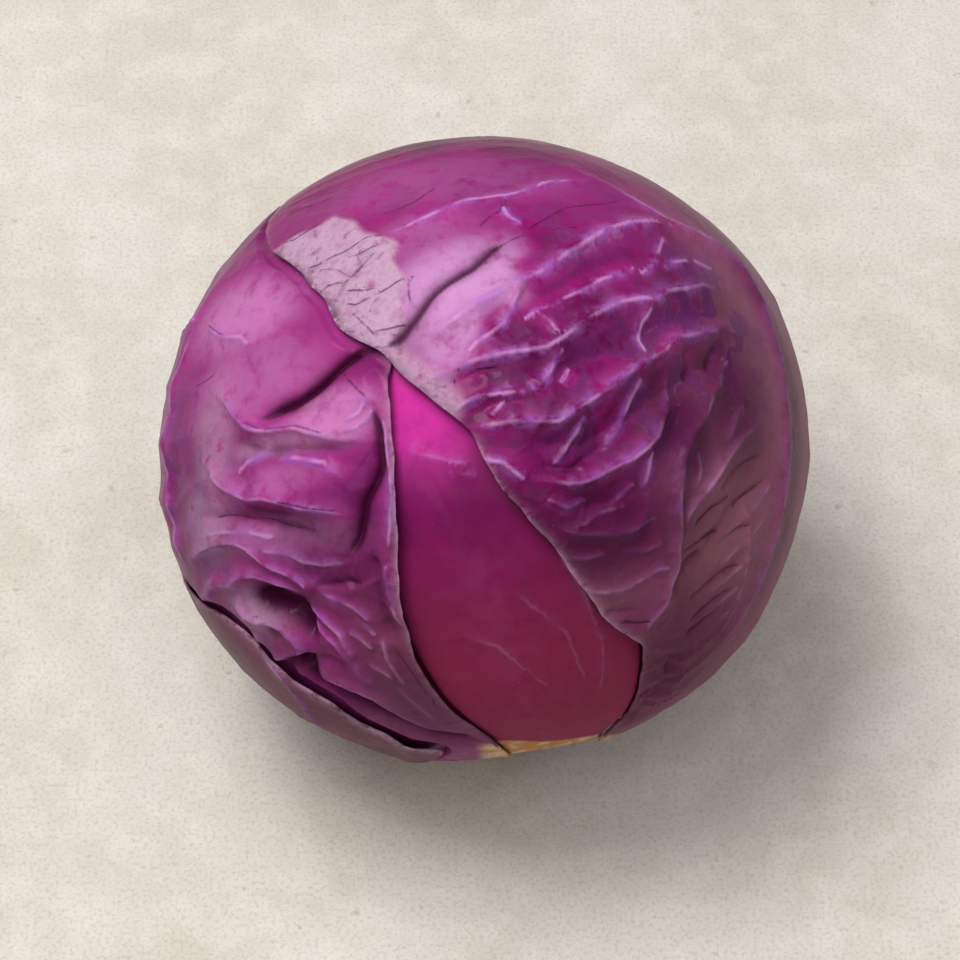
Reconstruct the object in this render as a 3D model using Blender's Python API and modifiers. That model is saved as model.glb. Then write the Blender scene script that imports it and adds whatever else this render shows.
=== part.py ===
"""A head of red cabbage lying on its side: a tight heart, five wrapper leaves over it and the cut stem butt.

Every leaf is a blade laid over the one below. Directions on the head are given as (longitude, latitude) in
degrees about its growth axis: latitude -90 is the stem butt, +90 the crown, longitude 0 the upper side."""
import bpy
import bmesh
import math
import numpy as np
from mathutils import Euler

# ---- driving dimensions (metres and degrees) ----
HEAD_RADIUS = 0.0800           # half the head's width
BLADE = 0.0010                 # thickness of a leaf blade
LAP = 0.0017                   # a leaf under another one lies this much deeper
LAP_OUT, LAP_EDGE = 0.0066, 0.0050  # how far outside the next margin a leaf starts to dive, and over what width
LIE_TILT = 55.0                # how far the growth axis leans back from upright
LIE_ROLL = 8.4                 # how far the crown leans to the left
REST_RADIUS = 0.0120           # the small flattened spot that the head lies on
BUTT_Z = 0.0728                # the knife's cut through the stem, below the middle of the head
BUTT_RADIUS = 0.0155
BUTT_DEPTH = 0.0090
HEART_RADIUS = 0.0728
HEART_BASE = 0.0622            # the heart stops here, above the butt
GRID_TURN = 0.40               # keeps the grids' corners away from the stalks (radians)
CENTRE_X, CENTRE_Y = -0.00045, -0.00007  # the middle of the head over the table's origin


def direction(lon, lat):
    """Unit vectors for longitudes and latitudes in degrees."""
    lon, lat = np.radians(lon), np.radians(lat)
    return np.stack([np.cos(lat) * np.sin(lon), -np.cos(lat) * np.cos(lon), np.sin(lat)], -1)


def ramp(value, low, high):
    """Smooth step from 0 at low to 1 at high."""
    t = np.clip((value - low) / (high - low), 0.0, 1.0)
    return t * t * (3.0 - 2.0 * t)


def head_shape(way):
    """The head is a little wider than tall and not quite round: its radius in each direction, against 1."""
    turn = np.arctan2(way[:, 2], way[:, 0])
    side = 1.0 - way[:, 1] ** 2
    waves = (0.013 * np.cos(2 * turn) + 0.003 * np.sin(2 * turn) + 0.003 * np.sin(turn)
             + 0.004 * np.sin(4 * turn))
    return 1.0 + side * (waves - 0.011)


def fold_height(way, folds):
    """Ribs and creases: each is (height in mm, half width in mm, points along it); the strongest one wins."""
    up, down = np.zeros(len(way)), np.zeros(len(way))
    for height, width, points in folds:
        line = direction(*np.array(points, float).T)
        nearest = np.full(len(way), 9.0)
        along = np.zeros(len(way))
        for i, (a, b) in enumerate(zip(line[:-1], line[1:])):
            t = np.clip(((way - a) @ (b - a)) / max((b - a) @ (b - a), 1e-9), 0.0, 1.0)
            gap = np.linalg.norm(way - a - t[:, None] * (b - a), axis=1)
            along = np.where(gap < nearest, (i + t) / (len(line) - 1), along)
            nearest = np.minimum(nearest, gap)
        fade = ramp(along, -0.05, 0.15) * ramp(1.0 - along, -0.05, 0.15)
        lift = abs(height) * 1e-3 * fade * np.exp(-np.sqrt((nearest * HEAD_RADIUS * 1e3 / width) ** 2 + 0.02))
        if height > 0:
            up = (up ** 4 + lift ** 4) ** 0.25
        else:
            down = (down ** 4 + lift ** 4) ** 0.25
    return up - down


def lain_on(way, r, under):
    """Presses a layer flat, parallel to the table, where the head's weight rests on it."""
    return np.minimum(r, (REST_DEPTH - under) / np.maximum(way @ DOWN, 0.3))


class Leaf:
    """One wrapper leaf: a margin drawn round a centre, a depth in the stack and its own folds."""

    def __init__(self, name, centre, stalk, margin, depth, cells, ripple, folds=()):
        self.name, self.depth, self.cells, self.folds = name, depth, cells, folds
        self.middle = direction(*centre)
        self.east = direction(centre[0] + 90.0, 0.0)
        self.north = np.cross(self.middle, self.east)
        turn, reach = self.chart(direction(*np.array(margin, float).T))
        order = np.argsort(turn)
        around = np.linspace(-math.pi, math.pi, 721)[:-1]
        edge = np.interp(around, turn[order], reach[order], period=2 * math.pi)
        edge = edge + ripple * (np.sin(19 * around + 1.0) + 0.7 * np.sin(34 * around + 2.6 * np.sin(3 * around)))
        edge = self.cut_at_butt(around, self.soften(edge, 2.5), stalk)
        self.around, self.edge = around, self.soften(edge, 1.2)
        self.skirt = self.soften(np.max([np.roll(self.edge, k) for k in range(-12, 13)], axis=0), 2.5)
        self.over = []   # leaves that lie over this one
        self.under = []  # leaves that this one lies on

    @staticmethod
    def soften(edge, spread):
        soft = np.exp(-0.5 * (np.arange(-6, 7) / spread) ** 2)
        return np.convolve(np.concatenate([edge[-6:], edge, edge[:6]]), soft / soft.sum(), "valid")

    def cut_at_butt(self, turn, edge, stalk):
        """The knife takes off what would reach past the southern latitude of the stalk's end."""
        pole = math.acos(-self.middle[2])
        toward = math.atan2(-self.north[2], -self.east[2])
        a, b = math.cos(pole), math.sin(pole) * np.cos(turn - toward)
        size = np.hypot(a, b)
        meets = math.cos(math.radians(90.0 - stalk)) / size
        near = np.arctan2(b, a) - np.arccos(np.clip(meets, -1.0, 1.0))
        return np.where((meets < 1.0) & (near > 0), np.minimum(edge, near), edge)

    def chart(self, way):
        """Bearing and angular distance of directions from the leaf's centre."""
        reach = np.arccos(np.clip(way @ self.middle, -1.0, 1.0))
        return np.arctan2(way @ self.north, way @ self.east), reach

    def reach_at(self, turn):
        """Angular distance of the margin at each bearing."""
        return np.interp(turn, self.around, self.edge, period=2 * math.pi)

    def cover(self, way):
        """1 under the leaf and just beyond its margin, falling to 0 a little further out."""
        turn, reach = self.chart(way)
        beyond = (reach - np.interp(turn, self.around, self.skirt, period=2 * math.pi)) * HEAD_RADIUS
        return 1.0 - ramp(beyond, LAP_OUT, LAP_OUT + LAP_EDGE)

    def radius(self, way):
        """Distance of the leaf's outer face from the middle of the head."""
        covers = [leaf.cover(way) for leaf in self.over]
        bare = np.prod([1.0 - c for c in covers], axis=0) if covers else 1.0
        r = (HEAD_RADIUS - self.depth) * head_shape(way) + bare * fold_height(way, self.folds)
        r = r - LAP * sum(covers)
        for leaf in self.under:
            floor = leaf.radius(way) + LAP
            r = np.where(leaf.cover(way) > 0.5, np.maximum(r, floor), r)
        return lain_on(way, r, max(self.depth, 0.0) + LAP * sum(covers))


LIE = Euler((math.radians(-LIE_TILT), math.radians(-LIE_ROLL), 0.0), "YXZ")
DOWN = np.array(LIE.to_matrix().transposed())[:, 2] * -1.0
BELOW = float(head_shape(DOWN[None])[0])
REST_DEPTH = math.sqrt((HEAD_RADIUS * BELOW) ** 2 - REST_RADIUS ** 2)

LOWER = Leaf("lower_leaf", (-140, -40), 68.5, [
    (-33, -63), (-39, -61), (-43, -58), (-45, -54), (-49, -47), (-51.5, -40), (-55.5, -32.5), (-58, -27),
    (-62, -22), (-76, -18.5), (-92, -13), (-112, -5), (-135, 4), (-160, 6), (176, 0), (158, -12), (143, -30),
    (130, -46), (122, -58), (126, -69), (-42, -70)],
    -0.0005, 24, 0.004,
    [(0.7, 9, [(-95, -66), (-70, -67), (-50, -63), (-45, -54)]),
     (0.9, 4, [(-62, -29), (-55.5, -37), (-51, -44), (-48, -50)]),
     (1.2, 9, [(-120, -66), (-130, -40), (-140, -15), (-148, 4)]),
     (0.7, 6, [(-90, -66), (-95, -45), (-102, -25), (-112, -8)]),
     (0.7, 6, [(170, -64), (170, -45), (172, -25), (174, -5)])])

RIGHT = Leaf("right_leaf", (62, 6), 71.5, [
    (-70, 57), (-60, 50), (-52, 46), (-46, 42.5), (-41, 40.5), (-36, 37.5), (-33.5, 36), (-30.5, 33),
    (-26.5, 30), (-25, 27.5), (-23, 24), (-20, 21.5), (-17.5, 20), (-15, 18.5), (-12.5, 15), (-10, 12.3),
    (-8, 10.5), (-5.5, 7.5), (-1.5, 3.3), (0, -1.5), (2.5, -7.5), (4.7, -10), (6.5, -13.8), (9.3, -17),
    (11.3, -20), (12.5, -22.8), (15.5, -27), (18.5, -31.5), (24, -36), (30, -38.5), (35, -39.5), (38, -44),
    (42, -51), (45, -59), (47, -72), (92, -76), (118, -64), (132, -52), (145, -32), (155, -10),
    (163, 14), (175, 36), (-165, 50), (-140, 61), (-105, 64), (-85, 62)],
    0.0, 37, 0.002,
    [(1.7, 5, [(57, 33), (48, 36.5), (38, 35.3), (30, 34), (24, 31.8), (17, 29.3), (10, 26), (3, 22.3), (-4, 20)]),
     (1.9, 5, [(58, 20), (50, 22.5), (39, 22), (30, 20.6), (20, 18), (15, 15.5), (8, 14.7), (-2, 13.2), (-6, 12)]),
     (2.0, 5, [(56, 11), (50, 14), (42, 14), (35, 12.7), (30, 10.2), (23, 7.8), (17, 4.3), (9, 3.3), (-1, 3.7)]),
     (1.8, 4, [(33, 8), (31.5, 3), (30, 0), (28, -3.3), (24.5, -4.7), (19, -7), (13, -7.4), (7, -5.5)]),
     (1.6, 4, [(49, 10), (45, 5.5), (40, 3), (36, -4), (33, -10), (33, -17), (32.3, -24), (30.5, -30), (29.5, -37)]),
     (1.4, 4, [(56, -1), (48, -3.5), (42, -8.5), (38, -12.5), (35, -17), (33, -22)]),
     (1.8, 5, [(44, 50), (51, 37), (58, 33), (64, 28), (67, 22), (66, 13), (64.5, 3), (63, -6), (62, -16),
               (60, -26), (57, -35), (51, -44), (46, -53)]),
     (1.3, 4, [(11, 10), (4, 8.6), (-0.5, 7.7), (-5, 6.2)]),
     (0.9, 5, [(40, 49), (28, 49.5), (20, 48.5), (12, 46.5), (4, 45)]),
     (1.0, 4, [(29, -14.5), (22, -17), (16, -16.7), (10, -15.5)]),
     (1.1, 4, [(57, -20), (52, -26), (47, -33), (42, -39)]),
     (1.5, 9, [(70, -62), (80, -40), (84, -10), (86, 20), (90, 45)]),
     (0.9, 7, [(100, -60), (108, -40), (118, -15), (130, 10), (150, 32)]),
     (-0.9, 5, [(62, 30), (52, 30), (38, 29), (24, 25), (10, 20)]),
     (-1.6, 6, [(56, 17), (44, 18), (32, 15.5), (20, 11.5), (8, 11)]),
     (-1.7, 6, [(52, 5), (44, 10), (36, 6), (26, 3), (16, -1), (6, 0)]),
     (-1.3, 5, [(58, -4), (50, -9), (44, -17), (38, -27), (34, -36)]),
     (-1.2, 6, [(28, -9), (20, -12), (12, -11)]),
     (-1.2, 3, [(-13, 19), (-10, 25), (-4, 30), (6, 36), (14, 37.5), (22, 40.5), (38, 42.5)]),
     (-2.2, 5, [(40, -42), (44, -50), (47, -58), (50, -65)]),
     (-1.0, 3, [(50, -20), (44, -23), (38, -26), (33, -28)])])

LEFT = Leaf("left_leaf", (-70, 0), 71.5, [
    (-11.5, 28), (-14, 15), (-14, 9), (-14.5, 4), (-14.8, -3), (-15.5, -9.5), (-17, -15), (-18.3, -22),
    (-19.3, -28), (-20, -35), (-19.5, -41.5), (-18, -49), (-14.7, -55.7), (-10.5, -62), (-8, -73), (-60, -78),
    (-120, -74), (-150, -66), (-168, -40), (-171, -12), (-168, 14), (-160, 40), (-130, 60), (-90, 70),
    (-45, 62), (-20, 45)],
    0.0, 34, 0.003,
    [(1.2, 8, [(-64, 42), (-68, 30), (-70, 15), (-72, 0), (-77, -12)]),
     (1.5, 3, [(-48, 10), (-38, 8.5), (-30, 7.5), (-24, 6), (-17, 4.5)]),
     (1.7, 4, [(-50, -1), (-43, -2.3), (-35, -3.4), (-27, -5), (-21, -5.5)]),
     (1.3, 4, [(-60, -9.5), (-50, -8.7), (-43, -8.8), (-35, -9.8), (-27, -11.5)]),
     (1.5, 4, [(-50, -9.5), (-43, -12), (-38, -15), (-33, -18), (-27, -21)]),
     (1.6, 4, [(-80, -12), (-64, -15.5), (-52, -15), (-45, -15.8), (-38, -18.5)]),
     (1.4, 4, [(-57, -18), (-60, -24), (-61, -30)]),
     (1.4, 4, [(-34, -19), (-35.5, -25), (-34, -30), (-32, -35), (-29, -40)]),
     (1.4, 3, [(-47, -31), (-42, -36), (-36, -40), (-30, -42)]),
     (0.8, 9, [(-24, -24), (-25, -36), (-24, -48), (-20, -56)]),
     (0.9, 5, [(-60, 29), (-50, 26), (-42, 23), (-30, 23)]),
     (1.0, 8, [(-120, -60), (-128, -35), (-134, -5), (-140, 25)]),
     (-2.0, 4, [(-15, 19), (-20, 18.5), (-25, 16.5), (-30, 14), (-38, 9.5)]),
     (-1.8, 3, [(-42, 5), (-32, 4.2), (-25, 3.2), (-17, 1.5)]),
     (-1.6, 3, [(-54, -5), (-45, -5.8), (-38, -7), (-28, -8.5)]),
     (-3.0, 4, [(-54, -20), (-47, -19.5), (-42, -22), (-41, -28)]),
     (-3.2, 4, [(-52, -32), (-47, -38), (-41, -45), (-34, -52), (-26, -57.5), (-16, -62.5)]),
     (-2.0, 2.5, [(-17, 11), (-18.5, 4), (-19.5, -3), (-21, -9), (-21.5, -16), (-22, -25)])])

FRONT = Leaf("front_leaf", (6, -12), 75.0, [
    (38, -74), (41.5, -60.6), (38.3, -53), (34.5, -45.3), (31.3, -39.6), (36, -30), (45, -15), (50, 5),
    (46, 25), (30, 42), (5, 50), (-25, 48), (-45, 35), (-56, 15), (-58, -10), (-54, -35), (-48, -55),
    (-42, -72), (-20, -79), (10, -80)],
    0.0034, 20, 0.002,
    [(0.5, 12, [(8, -70), (2, -50), (-2, -30), (-4, -10)])])

BACK = Leaf("back_leaf", (165, 8), 75.5, [
    (100, -72), (92, -40), (92, -10), (98, 20), (112, 48), (150, 66), (-160, 68), (-122, 52), (-106, 25),
    (-100, -5), (-104, -35), (-112, -60), (-125, -79), (180, -82), (125, -79)],
    0.0050, 16, 0.002,
    [(0.5, 10, [(160, -68), (165, -40), (167, -10), (170, 25)])])

RIGHT.over, LEFT.over = [LOWER], [LOWER, RIGHT]
FRONT.over, BACK.over = [LOWER], []
RIGHT.under, LEFT.under = [FRONT, LEFT], [FRONT]
LEAVES = [LOWER, RIGHT, LEFT, FRONT, BACK]

COLOURS = {
    "lower_leaf": (0.130, 0.037, 0.076), "right_leaf": (0.260, 0.030, 0.170), "left_leaf": (0.310, 0.055, 0.190),
    "front_leaf": (0.220, 0.014, 0.100), "back_leaf": (0.150, 0.025, 0.095), "heart": (0.190, 0.022, 0.100),
    "stem_butt": (0.610, 0.440, 0.270)}


def add_object(name, mesh, home):
    """Puts a finished mesh in the head with its own material."""
    piece = bpy.data.objects.new(name, mesh)
    home.objects.link(piece)
    material = bpy.data.materials.new(name)
    material.use_nodes = True
    shader = material.node_tree.nodes["Principled BSDF"]
    shader.inputs["Base Color"].default_value = (*COLOURS[name], 1.0)
    shader.inputs["Roughness"].default_value = 0.45
    shader.inputs["Metallic"].default_value = 0.0
    mesh.materials.append(material)
    for face in mesh.polygons:
        face.use_smooth = True
    return piece


def laid_over(vertices, place):
    """Moves a tool-made mesh's vertices to their places on the head, all at once."""
    flat = np.array([v.co for v in vertices])
    for vertex, spot in zip(vertices, place(flat)):
        vertex.co = spot


def leaf_mesh(leaf):
    """A square grid drawn round to the leaf's margin and laid on the head; Solidify gives the blade."""
    def place(flat):
        x, y = flat[:, 0], flat[:, 1]
        turn = np.arctan2(y * np.sqrt(1.0 - x * x / 2), x * np.sqrt(1.0 - y * y / 2)) + GRID_TURN
        reach = np.sqrt(x * x + y * y - x * x * y * y) * leaf.reach_at(turn)
        way = (np.cos(reach)[:, None] * leaf.middle
               + np.sin(reach)[:, None] * (np.cos(turn)[:, None] * leaf.east + np.sin(turn)[:, None] * leaf.north))
        return way * leaf.radius(way)[:, None]

    mesh = bpy.data.meshes.new(leaf.name)
    bm = bmesh.new()
    bmesh.ops.create_grid(bm, x_segments=leaf.cells, y_segments=leaf.cells, size=1.0)
    laid_over(bm.verts, place)
    bm.to_mesh(mesh)
    bm.free()
    return mesh


def heart_mesh():
    """The tight inner head, cut flat above the stem."""
    def place(ball):
        way = ball / np.linalg.norm(ball, axis=1)[:, None]
        r = HEART_RADIUS * head_shape(way)
        r = lain_on(way, np.minimum(r, HEART_BASE / np.maximum(-way[:, 2], 0.1)), HEAD_RADIUS - HEART_RADIUS)
        return way * r[:, None]

    mesh = bpy.data.meshes.new("heart")
    bm = bmesh.new()
    bmesh.ops.create_uvsphere(bm, u_segments=24, v_segments=16, radius=1.0)
    laid_over(bm.verts, place)
    bm.to_mesh(mesh)
    bm.free()
    return mesh


def butt_mesh():
    """The cut stump: a short flaring cone whose rim swells where each leaf stalk joined it."""
    def place(stump):
        turn = np.arctan2(stump[:, 1], stump[:, 0])
        swell = 1.0 + 0.05 * np.cos(5 * turn) + 0.02 * np.cos(3 * turn + 1.0)
        return np.stack([stump[:, 0] * swell, stump[:, 1] * swell, stump[:, 2] - BUTT_Z + BUTT_DEPTH / 2], -1)

    mesh = bpy.data.meshes.new("stem_butt")
    bm = bmesh.new()
    bmesh.ops.create_cone(bm, cap_ends=True, segments=36, radius1=BUTT_RADIUS, radius2=BUTT_RADIUS + 0.0015,
                          depth=BUTT_DEPTH)
    laid_over(bm.verts, place)
    bm.to_mesh(mesh)
    bm.free()
    return mesh


def build():
    for old in list(bpy.data.objects):
        bpy.data.objects.remove(old)
    home = bpy.data.collections.new("red_cabbage")
    bpy.context.scene.collection.children.link(home)
    head = bpy.data.objects.new("head", None)
    home.objects.link(head)
    head.rotation_mode = "YXZ"
    head.rotation_euler = LIE
    head.location = (CENTRE_X, CENTRE_Y, REST_DEPTH)
    for leaf in LEAVES:
        piece = add_object(leaf.name, leaf_mesh(leaf), home)
        piece.parent = head
        blade = piece.modifiers.new("blade", "SOLIDIFY")
        blade.thickness = BLADE
        blade.offset = -1.0
    for name, mesh in (("heart", heart_mesh()), ("stem_butt", butt_mesh())):
        piece = add_object(name, mesh, home)
        piece.parent = head
        if name == "stem_butt":
            rim = piece.modifiers.new("knife_rim", "BEVEL")
            rim.width, rim.segments = 0.0008, 2
            rim.limit_method, rim.angle_limit = "ANGLE", math.radians(40)


build()
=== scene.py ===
"""A head of red cabbage lying on its side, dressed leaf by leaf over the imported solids.

Directions on the head are (longitude, latitude) in degrees about its growth axis, as in the part: latitude
-90 is the stem butt, +90 the crown, and longitude 0 the upper side. Folds' sizes are in millimetres."""
import math

import bmesh
import bpy
import numpy as np
from mathutils import Euler, Matrix, Vector


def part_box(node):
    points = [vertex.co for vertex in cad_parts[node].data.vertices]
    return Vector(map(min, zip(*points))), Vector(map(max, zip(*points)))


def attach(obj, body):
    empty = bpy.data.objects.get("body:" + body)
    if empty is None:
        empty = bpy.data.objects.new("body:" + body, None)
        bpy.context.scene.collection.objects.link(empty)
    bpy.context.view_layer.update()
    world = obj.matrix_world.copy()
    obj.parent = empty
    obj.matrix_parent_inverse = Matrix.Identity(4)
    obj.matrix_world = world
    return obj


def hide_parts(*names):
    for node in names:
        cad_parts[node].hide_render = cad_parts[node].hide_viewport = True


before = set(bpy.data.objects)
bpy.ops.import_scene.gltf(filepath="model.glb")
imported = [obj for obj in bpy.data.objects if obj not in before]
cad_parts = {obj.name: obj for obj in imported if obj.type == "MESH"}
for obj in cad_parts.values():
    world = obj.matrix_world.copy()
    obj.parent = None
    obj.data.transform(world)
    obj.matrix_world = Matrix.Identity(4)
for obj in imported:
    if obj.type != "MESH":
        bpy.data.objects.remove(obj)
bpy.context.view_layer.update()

bl_info = {
    "name": "Red Cabbage Head",
    "version": (1, 0, 0),
    "blender": (4, 5, 0),
    "location": "View3D > Sidebar > Cabbage",
    "description": "Models a head of red cabbage with creased wrapper leaves, a tight heart and a cut stem",
    "category": "Add Mesh",
}

MM = 0.001
HEAD_RADIUS = 0.0800            # half the head's width
HEAD_MM = 80.0                  # the same in millimetres
CENTRE_X, CENTRE_Y = -0.00045, -0.00007  # the middle of the head over the table's origin
REST_RADIUS = 0.0120            # the small flattened spot that the head lies on
LIE_TILT, LIE_ROLL = 55.0, 8.4  # how far the growth axis leans back, and the crown to the left
LIE = Euler((math.radians(-LIE_TILT), math.radians(-LIE_ROLL), 0.0), "YXZ")
DOWN = -np.array(LIE.to_matrix().transposed())[:, 2]
BUSY_SIDE = np.array((0.0, -1.0, 0.0))  # round here the leaves' grids are halved once more
BUSY_COSINE = 0.26
LAP_BLEND = 0.0020              # a leaf rises over the margin of the one below within this
SINK, LIFT = 3.4 * MM, 2.6 * MM  # the front leaf lies deeper under its neighbours and stands out at its foot
TRIM = 0.0738                   # the knife's cut through the stem, below the middle of the head
TRIM_STEP = 0.3 * MM            # each leaf is cut this much shorter than the one outside it
FAR = 9.0                       # stands for nothing near, where a distance to a drawn line is kept
RIB_HEIGHT, CORE_DEPTH = 0.39, 1.9  # folds past these carry a pale line of wax with a painted highlight, or a dark line of painted shadow
GRID_TURN = 0.4                 # keeps the grids' corners away from the stalks (radians)


# ---- directions, noise and folds ----
def direction(lon, lat):
    """Unit vectors for longitudes and latitudes in degrees."""
    lon, lat = np.radians(lon), np.radians(lat)
    return np.stack([np.cos(lat) * np.sin(lon), -np.cos(lat) * np.cos(lon), np.sin(lat)], -1)


def unit(vectors):
    return vectors / np.linalg.norm(vectors, axis=1)[:, None]


def ramp(value, low, high):
    """Smooth step from 0 at low to 1 at high."""
    t = np.clip((value - low) / (high - low), 0.0, 1.0)
    return t * t * (3.0 - 2.0 * t)


def head_shape(way):
    """The head is a little wider than tall and not quite round: its radius in each direction, against 1."""
    turn = np.arctan2(way[:, 2], way[:, 0])
    side = 1.0 - way[:, 1] ** 2
    waves = (0.013 * np.cos(2 * turn) + 0.003 * np.sin(2 * turn) + 0.003 * np.sin(turn)
             + 0.004 * np.sin(4 * turn))
    return 1.0 + side * (waves - 0.011)


def swell(way, size_mm, seed):
    """Smooth noise of about -1 to 1 whose lumps are size_mm across: a sum of seeded plane waves."""
    draw = np.random.RandomState(seed)
    total = np.zeros(len(way))
    count = 14
    pitch = 2 * math.pi * HEAD_RADIUS / (2.0 * size_mm * MM)
    for _ in range(count):
        axis = draw.normal(size=3)
        axis *= draw.uniform(0.7, 1.4) / np.linalg.norm(axis)
        total += np.sin(way @ axis * pitch + draw.uniform(0, 2 * math.pi))
    return total / math.sqrt(count / 2.0) / 1.6


def strayed(way, amount):
    """Directions moved by about amount mm, so that drawn lines wander a little from their points."""
    return unit(way + np.stack([swell(way, 9.0, seed) for seed in (11, 12, 13)], -1) * amount / HEAD_MM)


def cells(way, size_mm, seed):
    """How far each direction is from the border between two random cells, in mm, 0 on the border."""
    draw = np.random.RandomState(seed)
    count = int(4 * math.pi * (HEAD_RADIUS / (size_mm * MM)) ** 2)
    seeds = unit(draw.normal(size=(count, 3)))
    border = np.empty(len(way))
    batch = 4000
    for start in range(0, len(way), batch):
        part = way[start:start + batch]
        dots = np.sort(np.partition(part @ seeds.T, -2, axis=1)[:, -2:], axis=1)
        gaps = np.sqrt(np.maximum(2.0 - 2.0 * dots, 0.0))
        border[start:start + batch] = (gaps[:, 0] - gaps[:, 1]) * HEAD_RADIUS / MM
    return border


def near_line(way, points, margin):
    """Which directions lie in a cap round a drawn line that goes margin radians past its ends."""
    ends = direction(*np.array(points, float).T)
    middle = ends.mean(axis=0)
    middle /= np.linalg.norm(middle)
    reach = np.arccos(np.clip(ends @ middle, -1, 1)).max() + margin
    return np.arccos(np.clip(way @ middle, -1, 1)) < reach


def line_distance(way, points):
    """Distance in mm from a drawn line, its side (-1 or 1) and the share of the way along it.

    Where two stretches are as near, as at a corner, the one that is more squarely beside gives the side."""
    line = direction(*np.array(points, float).T)
    nearest = np.full(len(way), FAR)
    along, lean = np.zeros(len(way)), np.zeros(len(way))
    tie = 1e-7
    for i, (a, b) in enumerate(zip(line[:-1], line[1:])):
        run = b - a
        t = np.clip(((way - a) @ run) / max(run @ run, 1e-9), 0.0, 1.0)
        off = way - a - t[:, None] * run
        gap = np.linalg.norm(off, axis=1)
        across = off @ np.cross(a, run) / (np.linalg.norm(run) * np.maximum(gap, 1e-9))
        closer = (gap < nearest - tie) | ((gap < nearest + tie) & (np.abs(across) > np.abs(lean)))
        along = np.where(closer, (i + t) / (len(line) - 1), along)
        lean = np.where(closer, across, lean)
        nearest = np.minimum(gap, nearest)
    return nearest * HEAD_RADIUS / MM, np.sign(lean + 1e-12), along


def fold_height(way, folds, wander=0.0, crisp=0.35):
    """Ribs and creases in metres: each is (height, half width, points[, skew]); the strongest one wins.

    skew widens one flank and steepens the other, and wander lets the lines stray a little."""
    up, down = np.zeros(len(way)), np.zeros(len(way))
    if wander:
        way = strayed(way, wander)
    for height, width, points, *skew in folds:
        close = near_line(way, points, 6.0 * width / HEAD_MM)
        if not close.any():
            continue
        gap, side, along = line_distance(way[close], points)
        lean = skew[0] if skew else 0.0
        round_off = (crisp if height > 0 else 2.5 * crisp) / width
        gap = np.sqrt((gap / (width * (1.0 + lean * side))) ** 2 + round_off ** 2) - round_off
        fade = ramp(along, -0.05, 0.18) * ramp(1.0 - along, -0.05, 0.18)
        lift = abs(height) * MM * fade * (0.72 * np.exp(-gap) + 0.28 * np.exp(-4.0 * gap))
        target = up if height > 0 else down
        target[close] = (target[close] ** 3 + lift ** 3) ** (1 / 3)
    return up - down


def nearest_line(way, lines, stray):
    """Distance to the nearest line in mm, and the same with a sign for the side.

    The distance is raised near a line's ends and where a second one comes close, so that lines end softly."""
    way = strayed(way, stray)
    best, second, across = np.full(len(way), FAR), np.full(len(way), 12.0), np.full(len(way), FAR)
    for points in lines:
        where = np.nonzero(near_line(way, points, 0.06))[0]
        straight, side, along = line_distance(way[where], points)
        gap = straight + 2.5 * (1.0 - ramp(along, -0.02, 0.14) * ramp(1.0 - along, -0.02, 0.14))
        nearer = gap < best[where]
        second[where] = np.where(nearer, best[where], np.minimum(second[where], gap))
        best[where] = np.where(nearer, gap, best[where])
        across[where] = np.where(nearer, straight * side, across[where])
    return best + 2.4 * (1.0 - ramp(second - best, 0.8, 2.2)), across


def patch(way, lon, lat, wide, tall, turn=0.0):
    """A soft oval of 1 in the middle and 0 outside, wide by tall degrees, turned anticlockwise."""
    middle = direction(lon, lat)
    east = direction(lon + 90.0, 0.0)
    north = np.cross(middle, east)
    turn = math.radians(turn)
    x, y = way @ east, way @ north
    u = (x * math.cos(turn) + y * math.sin(turn)) / math.radians(wide)
    v = (y * math.cos(turn) - x * math.sin(turn)) / math.radians(tall)
    return np.where(way @ middle > 0, np.exp(-0.5 * (u * u + v * v) ** 1.5), 0.0)


def ovals(way, *rows):
    """The strongest of some soft ovals, from 0 to 1: each row is a strength and what patch takes."""
    strongest = np.zeros(len(way))
    for strength, *oval in rows:
        strongest = np.maximum(strongest, strength * patch(way, *oval))
    return np.minimum(strongest, 1.0)


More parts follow.
